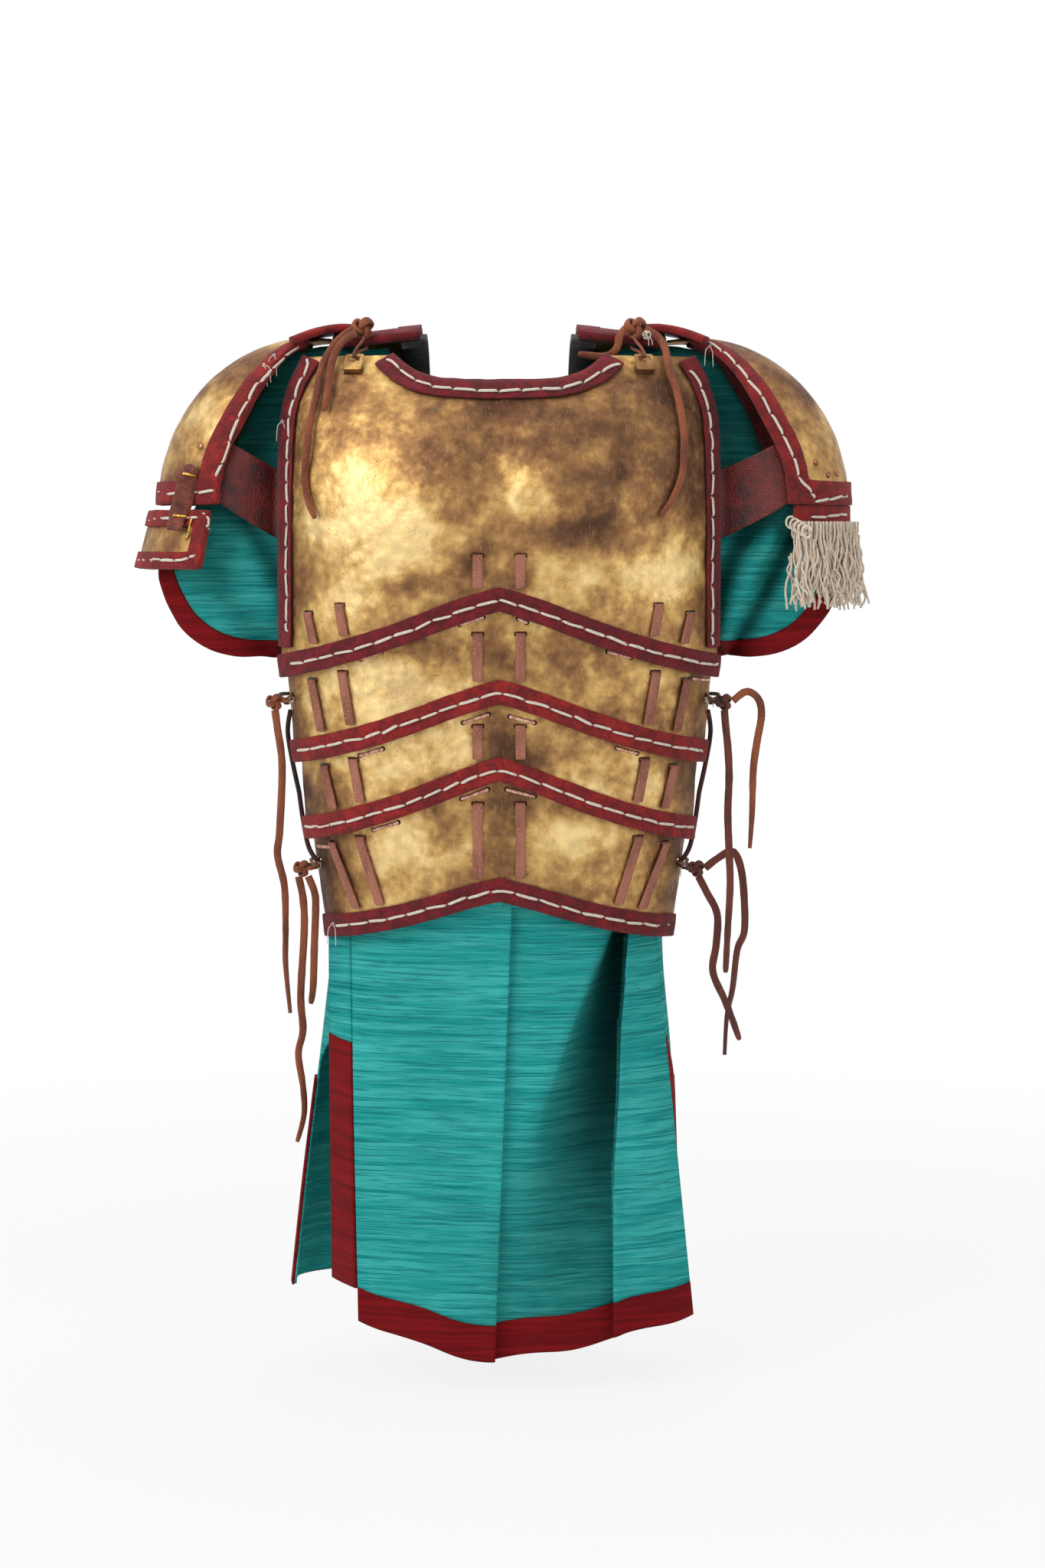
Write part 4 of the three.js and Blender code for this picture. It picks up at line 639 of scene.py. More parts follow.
def marked_by(piece, name, amount):
    """Keeps on each point of a mesh the amount worked out for its place"""
    marks = piece.data.attributes.new(name, "FLOAT", "POINT")
    marks.data.foreach_set("value", [amount(vertex.co) for vertex in piece.data.vertices])


def settled(made):
    """Turns a piece's modifiers into its own mesh"""
    bpy.context.view_layer.update()
    mesh = bpy.data.meshes.new_from_object(made.evaluated_get(bpy.context.evaluated_depsgraph_get()))
    made.modifiers.clear()
    made.data = mesh
    return made


def steps(low, high, count):
    return [mix(low, high, n / (count - 1)) for n in range(count)]


start_share = (skirt_top - skirt_start) / (skirt_top - front_hem)
across_front = (steps(-1, -0.04, 90) + steps(-0.03, 0.03, 13) + steps(0.04, fold_at - 0.005, 90)
                + steps(fold_at, fold_at + fold_turn, 9) + steps(fold_at + fold_turn + 0.006, 1, 60))
panel = cloth_between("front_skirt_panel", front_skirt, across_front, steps(start_share, 1, 110), teal_cloth)


def fold_shade(place):
    """Painted shade in the deep fold of the front panel: how dark it is, darkest at its edge near the waist
    """
    v = (skirt_top - place.z) / (skirt_top - front_hem)
    edge, reach = follow(fold_edges, v), 0.028 + 0.115 * max(v, -0.1)
    t = min(max((place.x - edge + reach) / reach, 0), 1)
    in_fold = (1 - (1 - t) ** 2) * (1 - 0.5 * ease((v - 0.35) / 0.6))
    return in_fold if place.x < edge - 0.0006 else 0


# Painted shade in the deep fold
marked_by(panel, "shaded", fold_shade)
band_share = 1 + front_band / (skirt_top - front_hem)
hem = cloth_between("front_skirt_hem", front_skirt, across_front, steps(1.0005, band_share, 14), red_cloth,
                    band_thick)
stands_for(hem, "front_hem_band")
slit_share = (skirt_top - slit_top) / (skirt_top - back_hem)
back_band_share = 1 + back_band / (skirt_top - back_hem)


def back_place(u, v):
    return back_skirt(u * mix(joined_share, wrap_share, ease((v - slit_share) / 0.14)), v)


tail_panel = cloth_between("back_skirt_panel", back_place, steps(-1, 1, 170),
                           steps(start_share, back_band_share, 70), teal_cloth)
back_strip = cloth_between("back_skirt_hem", lambda u, v: back_skirt(u, v, facing_off),
                           steps(-wrap_share, wrap_share, 150), steps(1.001, back_band_share + 0.003, 8),
                           red_cloth, facing_thick)
stands_for(back_strip, "back_hem_band")
sides = ((-1, "right"), (1, "left"))
edgings, returns = [], []
for side, word in sides:
    edgings.append(cloth_between(f"{word}_back_slit_facing", lambda u, v: back_skirt(side * u, v, facing_off),
                                 steps(wrap_share - facing_share, wrap_share + 0.003, 10),
                                 steps(slit_share + 0.16, 0.999, 36), red_cloth, facing_thick))
    returns.append(cloth_between(f"{word}_skirt_return", lambda w, z: side_return(side, w, z),
                                 steps(0.02, 1, 12), steps(skirt_start, slit_top + 0.0005, 30), teal_cloth))
    returns.append(cloth_between(f"{word}_slit_facing", lambda w, z: side_return(side, w, z),
                                 steps(0.02, 1.01, 12), steps(slit_top, slit_foot, 44), red_cloth,
                                 facing_thick))
for piece in (panel, tail_panel, *edgings, *returns):
    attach(piece, "torso")


bodice_top, bodice_tuck = -0.013, 0.03
shoulder_drop, shoulder_round, shoulder_half, shoulder_deep = 0.075, 0.062, 0.93, 0.72
neck_half, neck_drop = 0.098, 0.08


def bodice_place(u, v):
    """The bodice: u runs once round from the middle of the front, v from the shoulders to the waist"""
    z = mix(bodice_top, skirt_start - bodice_tuck, v)
    share = -z / torso_height
    top = ease((shoulder_drop + z) / shoulder_round)
    half = (half_width * follow(half_width_shares, share) - tunic_inset) * mix(1, shoulder_half, top)
    front_side = cos(u) > 0
    deep = (front_depth * follow(front_depth_shares, share) if front_side
            else back_depth * follow(back_depth_shares, share)) - tunic_inset
    reach = section_reach(u, half, deep * mix(1, shoulder_deep, top))
    return Vector((reach * sin(u), -reach * cos(u), z))


bodice = cloth_between("tunic_bodice", bodice_place, steps(0, 2 * pi * 119 / 120, 120), steps(0, 1, 60),
                       teal_cloth, loop=True, cut_out=lambda p: hypot(p.x / neck_half, p.z / neck_drop))
stands_for(bodice, "tunic")
turn = steps(0, 2 * pi * 71 / 72, 72)
for side, word in sides:
    cover = cloth_between(f"{word}_sleeve", lambda a, t: sleeve(side, a, mix(sleeve_start(a), 1, t)), turn,
                          steps(0, 1, 50), teal_cloth, loop=True)
    # Painted shade on the sleeve, under the cap and in its folds
    marked_by(cover, "shaded", lambda place: sleeve_shade(side, place))
    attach(cover, "torso")
    cuff = cloth_between(f"{word}_sleeve_hem", lambda a, t: sleeve(side, a, 1, t), turn,
                         steps(0.0006, sleeve_band, 8), red_cloth, band_thick, True)
    stands_for(cuff, f"{word}_sleeve_band")

# Neck padding: dark felt sewn inside the neck of the back plate and under its shoulder flaps, where the
# metal would rub. Only its edge shows at the neck.
weld_reach, flat_angle, square_angle = 2e-5, radians(25), radians(40)
soft_edges, point_reach, crease_hold = 60, 0.0008, 0.85


def closer(node, words, rounds, keep=48):
    """A finer mesh of one CAD solid, rounded off between the edges that turn more than keep degrees"""
    made = bpy.data.objects.new(f"{node}_{words}", frame["nodes"][node].data.copy())
    bpy.context.scene.collection.objects.link(made)
    form = bmesh.new()
    form.from_mesh(made.data)
    bmesh.ops.remove_doubles(form, verts=form.verts, dist=weld_reach)
    bmesh.ops.join_triangles(form, faces=form.faces, angle_face_threshold=flat_angle,
                             angle_shape_threshold=square_angle)
    creases = form.edges.layers.float.new("crease_edge")
    for edge in form.edges:
        hem_point = keep > soft_edges and max(abs(v.co.x) for v in edge.verts) < point_reach
        if len(edge.link_faces) == 2 and (hem_point or edge.calc_face_angle(0) > radians(keep)):
            edge[creases] = crease_hold
    form.to_mesh(made.data)
    form.free()
    made.data.shade_smooth()
    rounder = made.modifiers.new("rounder", "SUBSURF")
    rounder.levels = rounds
    rounder.render_levels = rounds
    return settled(made)


def dressed(node, words, material, rounds=2, keep=48):
    """The finer mesh in its own material, in the place of its CAD solid"""
    made = closer(node, words, rounds, keep)
    made.data.materials.clear()
    made.data.materials.append(material)
    return stands_for(made, node)


def felt_paint(start):
    fibres = start.grain(0.0016, 4)
    clumps = start.grain(0.012, 2)
    colour = fibres.between(0.4, 0.7).blend(shade(18, 15, 15), shade(48, 40, 38))
    return {"Base Color": colour, "Roughness": 0.95 - 0.1 * clumps, "relief": (fibres + clumps, 0.0012)}


felt = finish("dark felt", felt_paint, Sheen_Weight=0.3)
padding = dressed("neck_padding", "felt", felt, 1)

# Back plate and back lames: the same hammered brass as the front, its hem and flaps bound with red suede.
# The lames hang behind the belly plates and are laced to them at the sides.
# Brass tones from rubbed bright to dark brown; through the patina mark they also paint highlight and shade
brass_shades = [(240, 210, 148), (206, 168, 104), (160, 120, 76), (120, 84, 56), (84, 56, 38)]


def brass_paint(worn, wash=0.0):
    """Hammered brass: worn moves the whole piece from rubbed bright towards brown, and the marked level adds
    patina together with painted highlight and painted shade
    """

    def paint(start):
        wide = start.grain(0.06, 4, rough=0.6)
        middle = start.grain(0.02, 4, rough=0.6)
        fine = start.grain(0.006, 4, rough=0.6)
        # The marked level is partly patina and partly painted light: lower where the brass catches the light,
        # higher where it is in shade
        level = start.marked("patina_and_light") + worn
        level = level + (wide - 0.5) * 1.7 + (middle - 0.5) * 0.8 + (fine - 0.5) * 0.35
        colour = shade(*brass_shades[0])
        for step, tone in enumerate(brass_shades[1:]):
            colour = level.between(0.25 * step - 0.05, 0.25 * step + 0.3).blend(colour, shade(*tone))
        dents = start.cells(0.0085, feature="SMOOTH_F1")
        small = start.grain(0.0035, 3)
        specks = start.grain(0.0012, 2).between(0.66, 0.72) * start.grain(0.02, 2).between(0.42, 0.6)
        scratch = start.grain(0.005, 2, (8, 1, 0.4)).between(0.64, 0.7)
        # Painted shade: the raised edges of the hammer facets are darkened, standing in for the varied
        # reflections of beaten metal
        colour = (dents.between(0.25, 0.8) * 0.22).blend(colour, shade(*brass_shades[4]))
        colour = (specks * 0.75).blend(colour, shade(52, 40, 28))
        colour = (scratch * 0.2).blend(colour, shade(236, 214, 168))
        rusty = start.grain(0.045, 3, rough=0.7).between(0.56, 0.7) * 0.3 + wash
        colour = rusty.blend(colour, shade(140, 88, 60))
        green = start.grain(0.016, 3).between(0.7, 0.76) * level.between(0.4, 0.7) * 0.6
        colour = green.blend(colour, shade(78, 96, 74))
        brown = level.between(0.3, 1)
        rough = 0.45 + 0.1 * brown + 0.22 * (fine - 0.4) + 0.1 * scratch
        height = dents * 0.7 + small * 0.15 + fine * 0.25 - specks * 0.4 - scratch * 0.08
        metal = 1 - 0.25 * brown
        return {"Base Color": colour, "Roughness": rough, "Metallic": metal, "relief": (height, 0.0012)}

    return paint


chest_brass = finish("hammered chest brass", brass_paint(0.27))
back_brass = finish("hammered back brass", brass_paint(0.3, 0.05))


def mark_patina_and_light(made, places, base=0.0):
    """Marks on the mesh where the patina is thick, and where highlight and shade are painted: places are (x,
    z, across, high, amount)
    """

    def amount_at(place):
        bend = 0.014 * noise.noise(place * 22)
        level = base
        for x, z, across, high, amount in places:
            level += amount * exp(-((place.x + bend - x) / across) ** 2 - ((place.z + bend - z) / high) ** 2)
        return min(max(level, -0.6), 0.8)

    marked_by(made, "patina_and_light", amount_at)


def beaten(made, depth=0.0006, size=0.02):
    """Uneven swellings left by the hammer, the same on both faces of the sheet"""
    for vertex in made.data.vertices:
        co = vertex.co
        out = Vector((co.x, co.y * 1.4, 0)).normalized()
        vertex.co = co + out * depth * (noise.noise(co / size) + 0.5 * noise.noise(co / size * 2.3))
    made.data.update()
    return made


mark_patina_and_light(beaten(dressed("back_plate", "hammered", back_brass)), [(0, -0.1, 0.02, 0.2, 0.4)], 0.05)
for number in (1, 2, 3):
    lame = beaten(dressed(f"back_lame_{number}", "hammered", back_brass))
    mark_patina_and_light(lame, [(0, -0.4, 0.05, 0.3, 0.4)], 0.15)


def suede_paint(light, dark):
    """Dyed suede: rubbed paler in patches, a dark grain and a fine nap"""

    def paint(start):
        nap = start.grain(0.0008, 3)
        rubbed = start.grain(0.014, 4, rough=0.65)
        grain = start.grain(0.003, 3)
        colour = rubbed.between(0.35, 0.68).blend(shade(*dark), shade(*light))
        colour = (nap.between(0.52, 0.72) * 0.6).blend(colour, shade(*[c * 1.2 for c in light]))
        colour = (grain.between(0.48, 0.72) * 0.55).blend(colour, shade(*[c * 0.55 for c in dark]))
        rough = 0.8 + 0.15 * nap
        relief = (nap * 0.5 + grain + rubbed * 0.6, 0.0012)
        return {"Base Color": colour, "Roughness": rough, "relief": relief}

    return paint


plum_suede = finish("plum suede", suede_paint((132, 20, 30), (88, 9, 19)), Sheen_Weight=0.08)
red_suede = finish("red suede", suede_paint((160, 32, 28), (108, 14, 18)), Sheen_Weight=0.08)


class Skin:
    """The surface of some pieces, to lay seams, wires and rivets on"""

    def __init__(self, *pieces):
        points, faces = [], []
        for piece in pieces:
            start = len(points)
            points.extend(v.co.copy() for v in piece.data.vertices)
            faces.extend(tuple(n + start for n in p.vertices) for p in piece.data.polygons)
        self.tree = BVHTree.FromPolygons(points, faces)

    def under(self, across, down):
        """Where the line of sight through a place in the picture meets the surface"""
        eye = Vector((0, -stand_off, eye_height))
        spot, normal, _, _ = self.tree.ray_cast(eye, (seen(across, down) - eye).normalized())
        return (spot, normal) if spot else None

    def behind(self, x, z):
        """Where a line drawn from straight behind meets the surface"""
        spot, normal, _, _ = self.tree.ray_cast(Vector((x, 0.4, z)), front)
        return (spot, normal) if spot and normal.y > 0.2 else None

    def near(self, place):
        spot, normal, _, _ = self.tree.find_nearest(place)
        return spot, normal

    def laid(self, guide, step=0.0015):
        """A line pressed onto the surface from rough places in space"""
        return [self.near(p) for p in curved(guide, step)]

    def middle(self, starts, ends, step=4, look=None):
        """The middle line of a strip seen in the picture or from behind, looked up across it step by step"""
        track = []
        look = look or self.under
        line = curved([(*p, 0) for p in starts], step)
        other = curved([(*p, 0) for p in ends], step)
        for k, p in enumerate(line):
            q = other[min(round(k * (len(other) - 1) / (len(line) - 1)), len(other) - 1)]
            found = [t for t in range(-6, 23) if look(*p.lerp(q, t / 16).xy)]
            if found:
                track.append(look(*p.lerp(q, found[len(found) // 2] / 16).xy)[0])
        windows = [track[max(k - 2, 0):k + 3] for k in range(len(track))]
        smooth = [sum(window, Vector()) / len(window) for window in windows]
        return self.laid(smooth) if len(track) > 3 else []


thread_width, stitch, stitch_gap = 0.0025, 0.0175, 0.0014


def two_tone(size, detail, span, first, second, rough, rougher, depth, stretch=(1, 1, 1)):
    """A plain finish with one grain that sets its colour between two, its roughness and its relief"""

    def paint(start):
        grain = start.grain(size, detail, stretch)
        colour = grain.between(*span).blend(shade(*first), shade(*second))
        return {"Base Color": colour, "Roughness": rough + rougher * grain, "relief": (grain, depth)}

    return paint


white_thread = finish("waxed white thread", two_tone(0.001, 2, (0.35, 0.6), (212, 198, 176), (246, 240, 226),
                                                     0.75, 0.1, 0.0006, (1, 1, 2)))


def attached(name, parts, material, body):
    """A loose mesh piece that rides on one body"""
    made = mesh_piece(name, parts, material)
    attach(made, body)
    return made


def sewn(name, body, tracks, dash=stitch, seed=1):
    """Running stitches along lines that lie on a surface, each dash dipping in at its ends"""
    chance = random.Random(seed)
    parts = []
    for track in tracks:
        k = 0
        while k < len(track) - 3:
            goal = dash * chance.uniform(0.82, 1.12)
            run, reach = [track[k]], 0
            while k < len(track) - 1 and reach < goal:
                reach += (track[k + 1][0] - track[k][0]).length
                k += 1
                run.append(track[k])
            if len(run) < 4:
                break
            lean = chance.uniform(-0.0009, 0.0009)
            along = (run[-1][0] - run[0][0]).normalized()
            out = sum((normal for _, normal in run), Vector()).normalized()
            path, outs = [], [out] * len(run)
            for n, (spot, _) in enumerate(run):
                t = n / (len(run) - 1)
                rise = thread_width * (0.85 * ease(min(t, 1 - t) * 9) - 0.35)
                path.append(spot + out * rise + out.cross(along) * lean * (2 * t - 1))
            size = chance.uniform(0.88, 1.1)
            width = thread_width * size
            parts.append(swept(path, lambda t: oval(width * (0.5 + 0.5 * ease(min(t, 1 - t) * 8)),
                                                    width * 0.8, 8, 0, 2), outs))
            gap = 0
            while k < len(track) - 1 and gap < stitch_gap:
                gap += (track[k + 1][0] - track[k][0]).length
                k += 1
    attached(name, parts, white_thread, body)


def furrowed(piece, tracks, depth=0.0008, width=0.0028):
    """Presses the seam into the suede, swells the binding on both sides of it and unevens its edges"""
    spots = [spot for track in tracks for spot, _ in track]
    tree = KDTree(len(spots))
    for n, spot in enumerate(spots):
        tree.insert(spot, n)
    tree.balance()
    normals = [v.normal.copy() for v in piece.data.vertices]
    for vertex, normal in zip(piece.data.vertices, normals):
        spot, _, away = tree.find(vertex.co)
        wave = 0.0006 * noise.noise(vertex.co * 90)
        press = depth * (exp(-(away / width) ** 2) - 0.55 * exp(-((away - 2 * width) / width) ** 2))
        if away < 4 * width:
            vertex.co -= normal * press
        vertex.co += normal * wave * min(1, away / 0.006)
    piece.data.update()


def bound(node, material, tracks_of, rounds=2, seed=1, dash=stitch):
    """A suede binding with its seam"""
    piece = dressed(node, "suede", material, rounds, 75)
    tracks = [t for t in tracks_of(Skin(piece)) if len(t) > 6]
    if tracks:
        furrowed(piece, tracks)
        sewn(f"{node}_stitches", body_of[node], tracks_of(Skin(piece)), dash, seed)


def back_tracks(skin):
    """The seam along the hem of the back plate"""
    edge = frame["nodes"]["back_plate_binding"].data.vertices
    wide = 0.97 * max(v.co.x for v in edge)
    foot = min(v.co.z for v in edge)
    below, above = foot - 0.004, foot + 0.018
    return [skin.middle([(-wide, below), (wide, below)], [(-wide, above), (wide, above)], 0.003, skin.behind)]


bound("back_plate_binding", plum_suede, back_tracks, 1)

# Chest plate: one sheet of brass beaten over a form, with two breast swellings and a hollow between them.
# The high places are rubbed bright and the patina is left in the hollows, at the neck and along the sides,
# and the same map paints highlight on the breasts and shade in the hollows and on the sides that turn away.
chest_patina_and_light = [
    (0.0, -0.05, 0.16, 0.032, 0.42), (0.0, -0.085, 0.11, 0.022, 0.2), (-0.049, -0.119, 0.036, 0.028, 0.42),
    (-0.03, -0.148, 0.022, 0.02, 0.32), (0.049, -0.172, 0.036, 0.018, 0.5),
    (-0.028, -0.196, 0.03, 0.018, 0.3), (-0.141, -0.204, 0.02, 0.018, 0.28),
    (0.022, -0.212, 0.02, 0.01, 0.28), (0.142, -0.147, 0.026, 0.045, 0.3),
    (0.081, -0.127, 0.045, 0.025, 0.3), (0.165, -0.09, 0.03, 0.06, 0.25), (-0.175, -0.2, 0.012, 0.08, 0.3),
    (0.178, -0.2, 0.012, 0.1, 0.3), (-0.085, -0.22, 0.02, 0.008, 0.3), (-0.109, -0.15, 0.05, 0.045, -0.5),
    (0.006, -0.15, 0.016, 0.03, -0.1), (0.1, -0.16, 0.045, 0.035, 0.2), (0.113, -0.204, 0.05, 0.022, -0.35),
    (0.155, -0.21, 0.012, 0.03, -0.25), (-0.08, -0.19, 0.04, 0.02, -0.25),
]
mark_patina_and_light(beaten(dressed("chest_plate", "hammered", chest_brass, 3), 0.0009, 0.026), chest_patina_and_light, 0.1)

# Edges of the bindings as places in the picture, which give the seams their course
neck_line = [(506, 445), (523, 472), (552, 488), (584, 498), (632, 503), (679, 502), (727, 495), (759, 488),
             (791, 474), (812, 458)]
neck_low = [(500, 462), (523, 490), (552, 507), (584, 515), (632, 519), (679, 518), (727, 516), (759, 508),
            (791, 494), (818, 474)]
hem_tops = [
    [(376, 868), (419, 855), (459, 840), (514, 820), (561, 800), (609, 780), (637, 774), (664, 774),
     (698, 782), (739, 798), (779, 814), (818, 826), (858, 836), (897, 850), (933, 859), (949, 861)],
    [(385, 971), (439, 962), (498, 946), (557, 927), (613, 905), (645, 897), (676, 899), (719, 919),
     (779, 938), (838, 952), (881, 964), (921, 970)],
    [(395, 1080), (459, 1067), (518, 1047), (577, 1025), (613, 1010), (641, 1001), (668, 1002), (719, 1018),
     (779, 1035), (838, 1049), (881, 1061), (909, 1065)],
    [(435, 1205), (478, 1203), (518, 1194), (577, 1176), (617, 1160), (648, 1155), (698, 1162), (719, 1170),
     (779, 1182), (830, 1195), (885, 1197)],
]
hem_width, look_past = 27, 3


def hem_tracks(level):
    """The seam of one chevron hem, looked up in the picture from just above the binding to just below it"""
    above = [(x, y - look_past) for x, y in hem_tops[level]]
    below = [(x, y + hem_width + look_past) for x, y in hem_tops[level]]
    return lambda skin: [skin.middle(above, below)]


armhole_lines = {
    "right": ([(398, 465), (383, 496), (370, 550), (367, 591), (369, 639), (372, 687), (370, 735), (366, 776),
               (362, 814), (364, 832)],
              [(421, 465), (412, 483), (402, 515), (396, 543), (392, 579), (393, 623), (397, 671), (398, 703),
               (394, 751), (390, 779), (382, 827)]),
    "left": ([(893, 483), (903, 505), (907, 543), (908, 623), (910, 687), (910, 751), (914, 795), (922, 824),
              (931, 846)],
             [(903, 480), (925, 496), (934, 534), (937, 575), (937, 687), (936, 751), (938, 792), (950, 827),
              (946, 850)]),
}
bound("chest_neck_binding", plum_suede, lambda skin: [skin.middle(neck_line, neck_low)], seed=3)
for side, word in sides:
    bound(f"chest_{word}_armhole_binding", plum_suede, lambda skin: [skin.middle(*armhole_lines[word])],
          seed=5)
bound("chest_hem_binding", plum_suede, hem_tracks(0), seed=7)

# Belly plates: three hoops of the same brass, each tucked up behind the hem above and hung from it by flat
# thongs. A hem binding is held by a seam and by short wire staples clenched below it.
# Patina of the belly plates, partly painted light: darker at the middle and at the sides that turn away,
# brighter patches on either side of the middle as painted highlights
belly_patina_and_light = {
    1: [(0, -0.285, 0.014, 0.03, 0.4), (0.045, -0.288, 0.022, 0.022, 0.42),
        (-0.069, -0.273, 0.03, 0.012, 0.35), (0, -0.322, 0.03, 0.012, 0.25), (-0.18, -0.33, 0.022, 0.06, 0.5),
        (0.18, -0.33, 0.022, 0.06, 0.5), (-0.1, -0.3, 0.06, 0.03, -0.6), (0.1, -0.305, 0.04, 0.02, -0.2)],
    2: [(0, -0.352, 0.025, 0.03, 0.55), (0.04, -0.36, 0.035, 0.02, 0.45), (-0.035, -0.385, 0.025, 0.01, 0.22),
        (-0.17, -0.4, 0.022, 0.06, 0.5), (0.17, -0.4, 0.022, 0.06, 0.5), (-0.097, -0.366, 0.05, 0.022, -0.4),
        (0.1, -0.375, 0.04, 0.02, -0.2)],
    3: [(0.004, -0.4, 0.05, 0.02, 0.35), (0.004, -0.44, 0.02, 0.05, 0.48), (-0.045, -0.43, 0.016, 0.02, 0.4),
        (-0.155, -0.47, 0.025, 0.07, 0.55), (0.155, -0.47, 0.025, 0.07, 0.55),
        (-0.093, -0.447, 0.045, 0.03, -0.2), (0.061, -0.431, 0.026, 0.02, -0.35),
        (0.1, -0.45, 0.03, 0.03, -0.1)],
}
staples = {
    1: [((472, 861), (498, 851)), ((601, 816), (631, 806)), ((677, 808), (688, 813)),
        ((794, 851), (824, 859)), ((904, 886), (925, 888))],
    2: [((470, 987), (500, 978)), ((605, 944), (638, 933)), ((666, 936), (698, 944)),
        ((806, 977), (832, 984))],
    3: [((488, 1084), (520, 1074)), ((603, 1043), (637, 1031)), ((662, 1031), (698, 1040)),
        ((802, 1072), (828, 1076)), ((416, 1105), (430, 1106))],
}


staple_width, staple_thick, hole_radius = 0.0032, 0.0018, 0.0023
pink_wire = finish("pink copper wire", two_tone(0.003, 3, (0.35, 0.65), (232, 188, 168), (186, 118, 98),
                                                0.34, 0.2, 0.0002), Metallic=0.6)
# Painted shadow: near black for the mouths of holes, where the inside lies in shade
painted_hole_shadow = finish("painted hole shadow", lambda start: {"Base Color": shade(14, 10, 8), "Roughness": 0.9,
                                               "relief": (start.grain(0.002), 0.0001)})


def disc(spot, out, radius, lift=0.00015):
    """A small flat round just proud of a surface: the mouth of a hole with its shadow painted on"""
    side = Vector((1, 0, 0.2)).cross(out).normalized()
    up = out.cross(side)
    angles = [2 * pi * n / 12 for n in range(12)]
    return [spot + out * lift + (side * cos(a) + up * sin(a)) * radius for a in angles], [tuple(range(12))]


def stapled(number, plate):
    """The wire staples of one belly plate, each bridging from one hole to the next"""
    skin = Skin(plate)
    wires, holes = [], []
    for start, end in staples[number]:
        a, b = skin.under(*start), skin.under(*end)
        if not a or not b:
            continue
        out = (a[1] + b[1]).normalized()
        path = curved([a[0] - out * 0.0012, a[0] + out * 0.0006, a[0].lerp(b[0], 0.5) + out * 0.0016,
                       b[0] + out * 0.0006, b[0] - out * 0.0012], 0.0012)
        wires.append(swept(path, lambda t: oval(staple_width, staple_thick, 8, 0, 3), out))
        holes.extend(disc(spot, normal, hole_radius) for spot, normal in (a, b))
    attached(f"belly_staples_{number}", wires, pink_wire, f"hoop_{number}")
    attached(f"belly_staple_holes_{number}", holes, painted_hole_shadow, f"hoop_{number}")


for number in (1, 2, 3):
    plate = dressed(f"belly_plate_{number}", "hammered", chest_brass, 3)
    mark_patina_and_light(beaten(plate, 0.0006, 0.024), belly_patina_and_light[number], 0.07)
    stapled(number, plate)
    suede = plum_suede if number == 3 else red_suede
    bound(f"belly_binding_{number}", suede, hem_tracks(number), seed=10 + number)

# Lacing: flat pinkish thongs that come through a slot in each plate and carry the next plate by their lower
# ends, six to a level. Their cut edges are paler and a little ragged.
front_thong = finish("pink front thong", thong_paint((172, 110, 88), (130, 78, 60)), Sheen_Weight=0.05)
for node in ("chest_lacing", "belly_lacing_1", "belly_lacing_2", "belly_lacing_3"):
    dressed(node, "thongs", front_thong, 2, 60)

# Sides: a copper ring through the edge of the upper and the lower belly plate, tied to the back lame with a
# thong that is knotted outside. A thin dark cord and white thread hold the hoops' edges between the rings.
ring_paint = two_tone(0.002, 3, (0.3, 0.65), (190, 134, 104), (112, 68, 50), 0.3, 0.25, 0.0002)
copper = finish("copper wire", ring_paint, Metallic=1.0)
knot_places = {"side_tie_1": (0.1935, -0.0549, -0.3179), "side_tie_3": (0.1711, -0.0357, -0.4633),
               "shoulder_knot": (0.1179, -0.0412, 0.0052)}
knot_reach, knot_hold, knot_squeeze, knot_width, knot_thick = 0.0062, 0.0085, 0.66, 0.006, 0.003


def mirrored(side, places):
    """Places measured on the wearer's left, on the side that is asked for"""
    return [(side * x, y, z) for x, y, z in places]


def tied(side, word, tie, material, size, seed):
    """The thong of a tie, with its knot as a strip that winds over and under itself"""
    node = f"{word}_{tie}"
    piece = dressed(node, "thong", material, 1, 80)
    centre = Vector(mirrored(side, [knot_places[tie]])[0])
    for vertex in piece.data.vertices:
        away = vertex.co - centre
        if away.length < knot_hold:
            vertex.co = centre + away * knot_squeeze
    chance = random.Random(seed)
    turned = Matrix.Rotation(chance.uniform(-0.5, 0.5), 3, "Y")
    turned = turned @ Matrix.Rotation(pi / 2 + chance.uniform(-0.3, 0.3), 3, "X")
    path = []
    for a in [2 * pi * n / 72 for n in range(73)]:
        loop = Vector((sin(a) + 2 * sin(2 * a), cos(a) - 2 * cos(2 * a), -1.5 * sin(3 * a))) / 3
        path.append(centre + turned @ (loop * knot_reach * size))
    outs = [(p - centre).normalized() for p in path]
    strip = swept(path, lambda t: oval(knot_width * size, knot_thick * size, 12), outs)
    attached(f"{node}_wraps", [strip], material, body_of[node])


for number in (1, 3):
    for side, word in sides:
        dressed(f"{word}_ring_{number}", "copper", copper, 1, 89)
        tied(side, word, f"side_tie_{number}", dark_thong if word == "left" else side_thong, 1.0, number)

side_cord = finish("dark round cord", thong_paint((70, 30, 24), (30, 12, 10)))
cord_thick = 0.0042
cord_runs = {
    "upper": ("hoop_1", "hoop_2", [(0.1805, -0.045, -0.326), (0.1835, -0.034, -0.345),
                                   (0.1795, -0.03, -0.372), (0.174, -0.028, -0.398)]),
    "lower": ("hoop_2", "hoop_3", [(0.174, -0.028, -0.398), (0.171, -0.027, -0.42),
                                   (0.166, -0.027, -0.445), (0.158, -0.03, -0.458)]),
}
for side, word in sides:
    for level, (upper, lower, places) in cord_runs.items():
        route = mirrored(side, places)
        strip = swept(curved(route, 0.002), lambda t: oval(cord_thick, cord_thick, 10, 0, 2), front)
        run = mesh_piece(f"{word}_{level}_side_cord", [strip], side_cord)
        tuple(route[0])
        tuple(route[-1])
        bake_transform(run)


wound_thread, thread_end, thread_wave, thread_sag = 0.001, 0.0008, 0.0006, 0.004


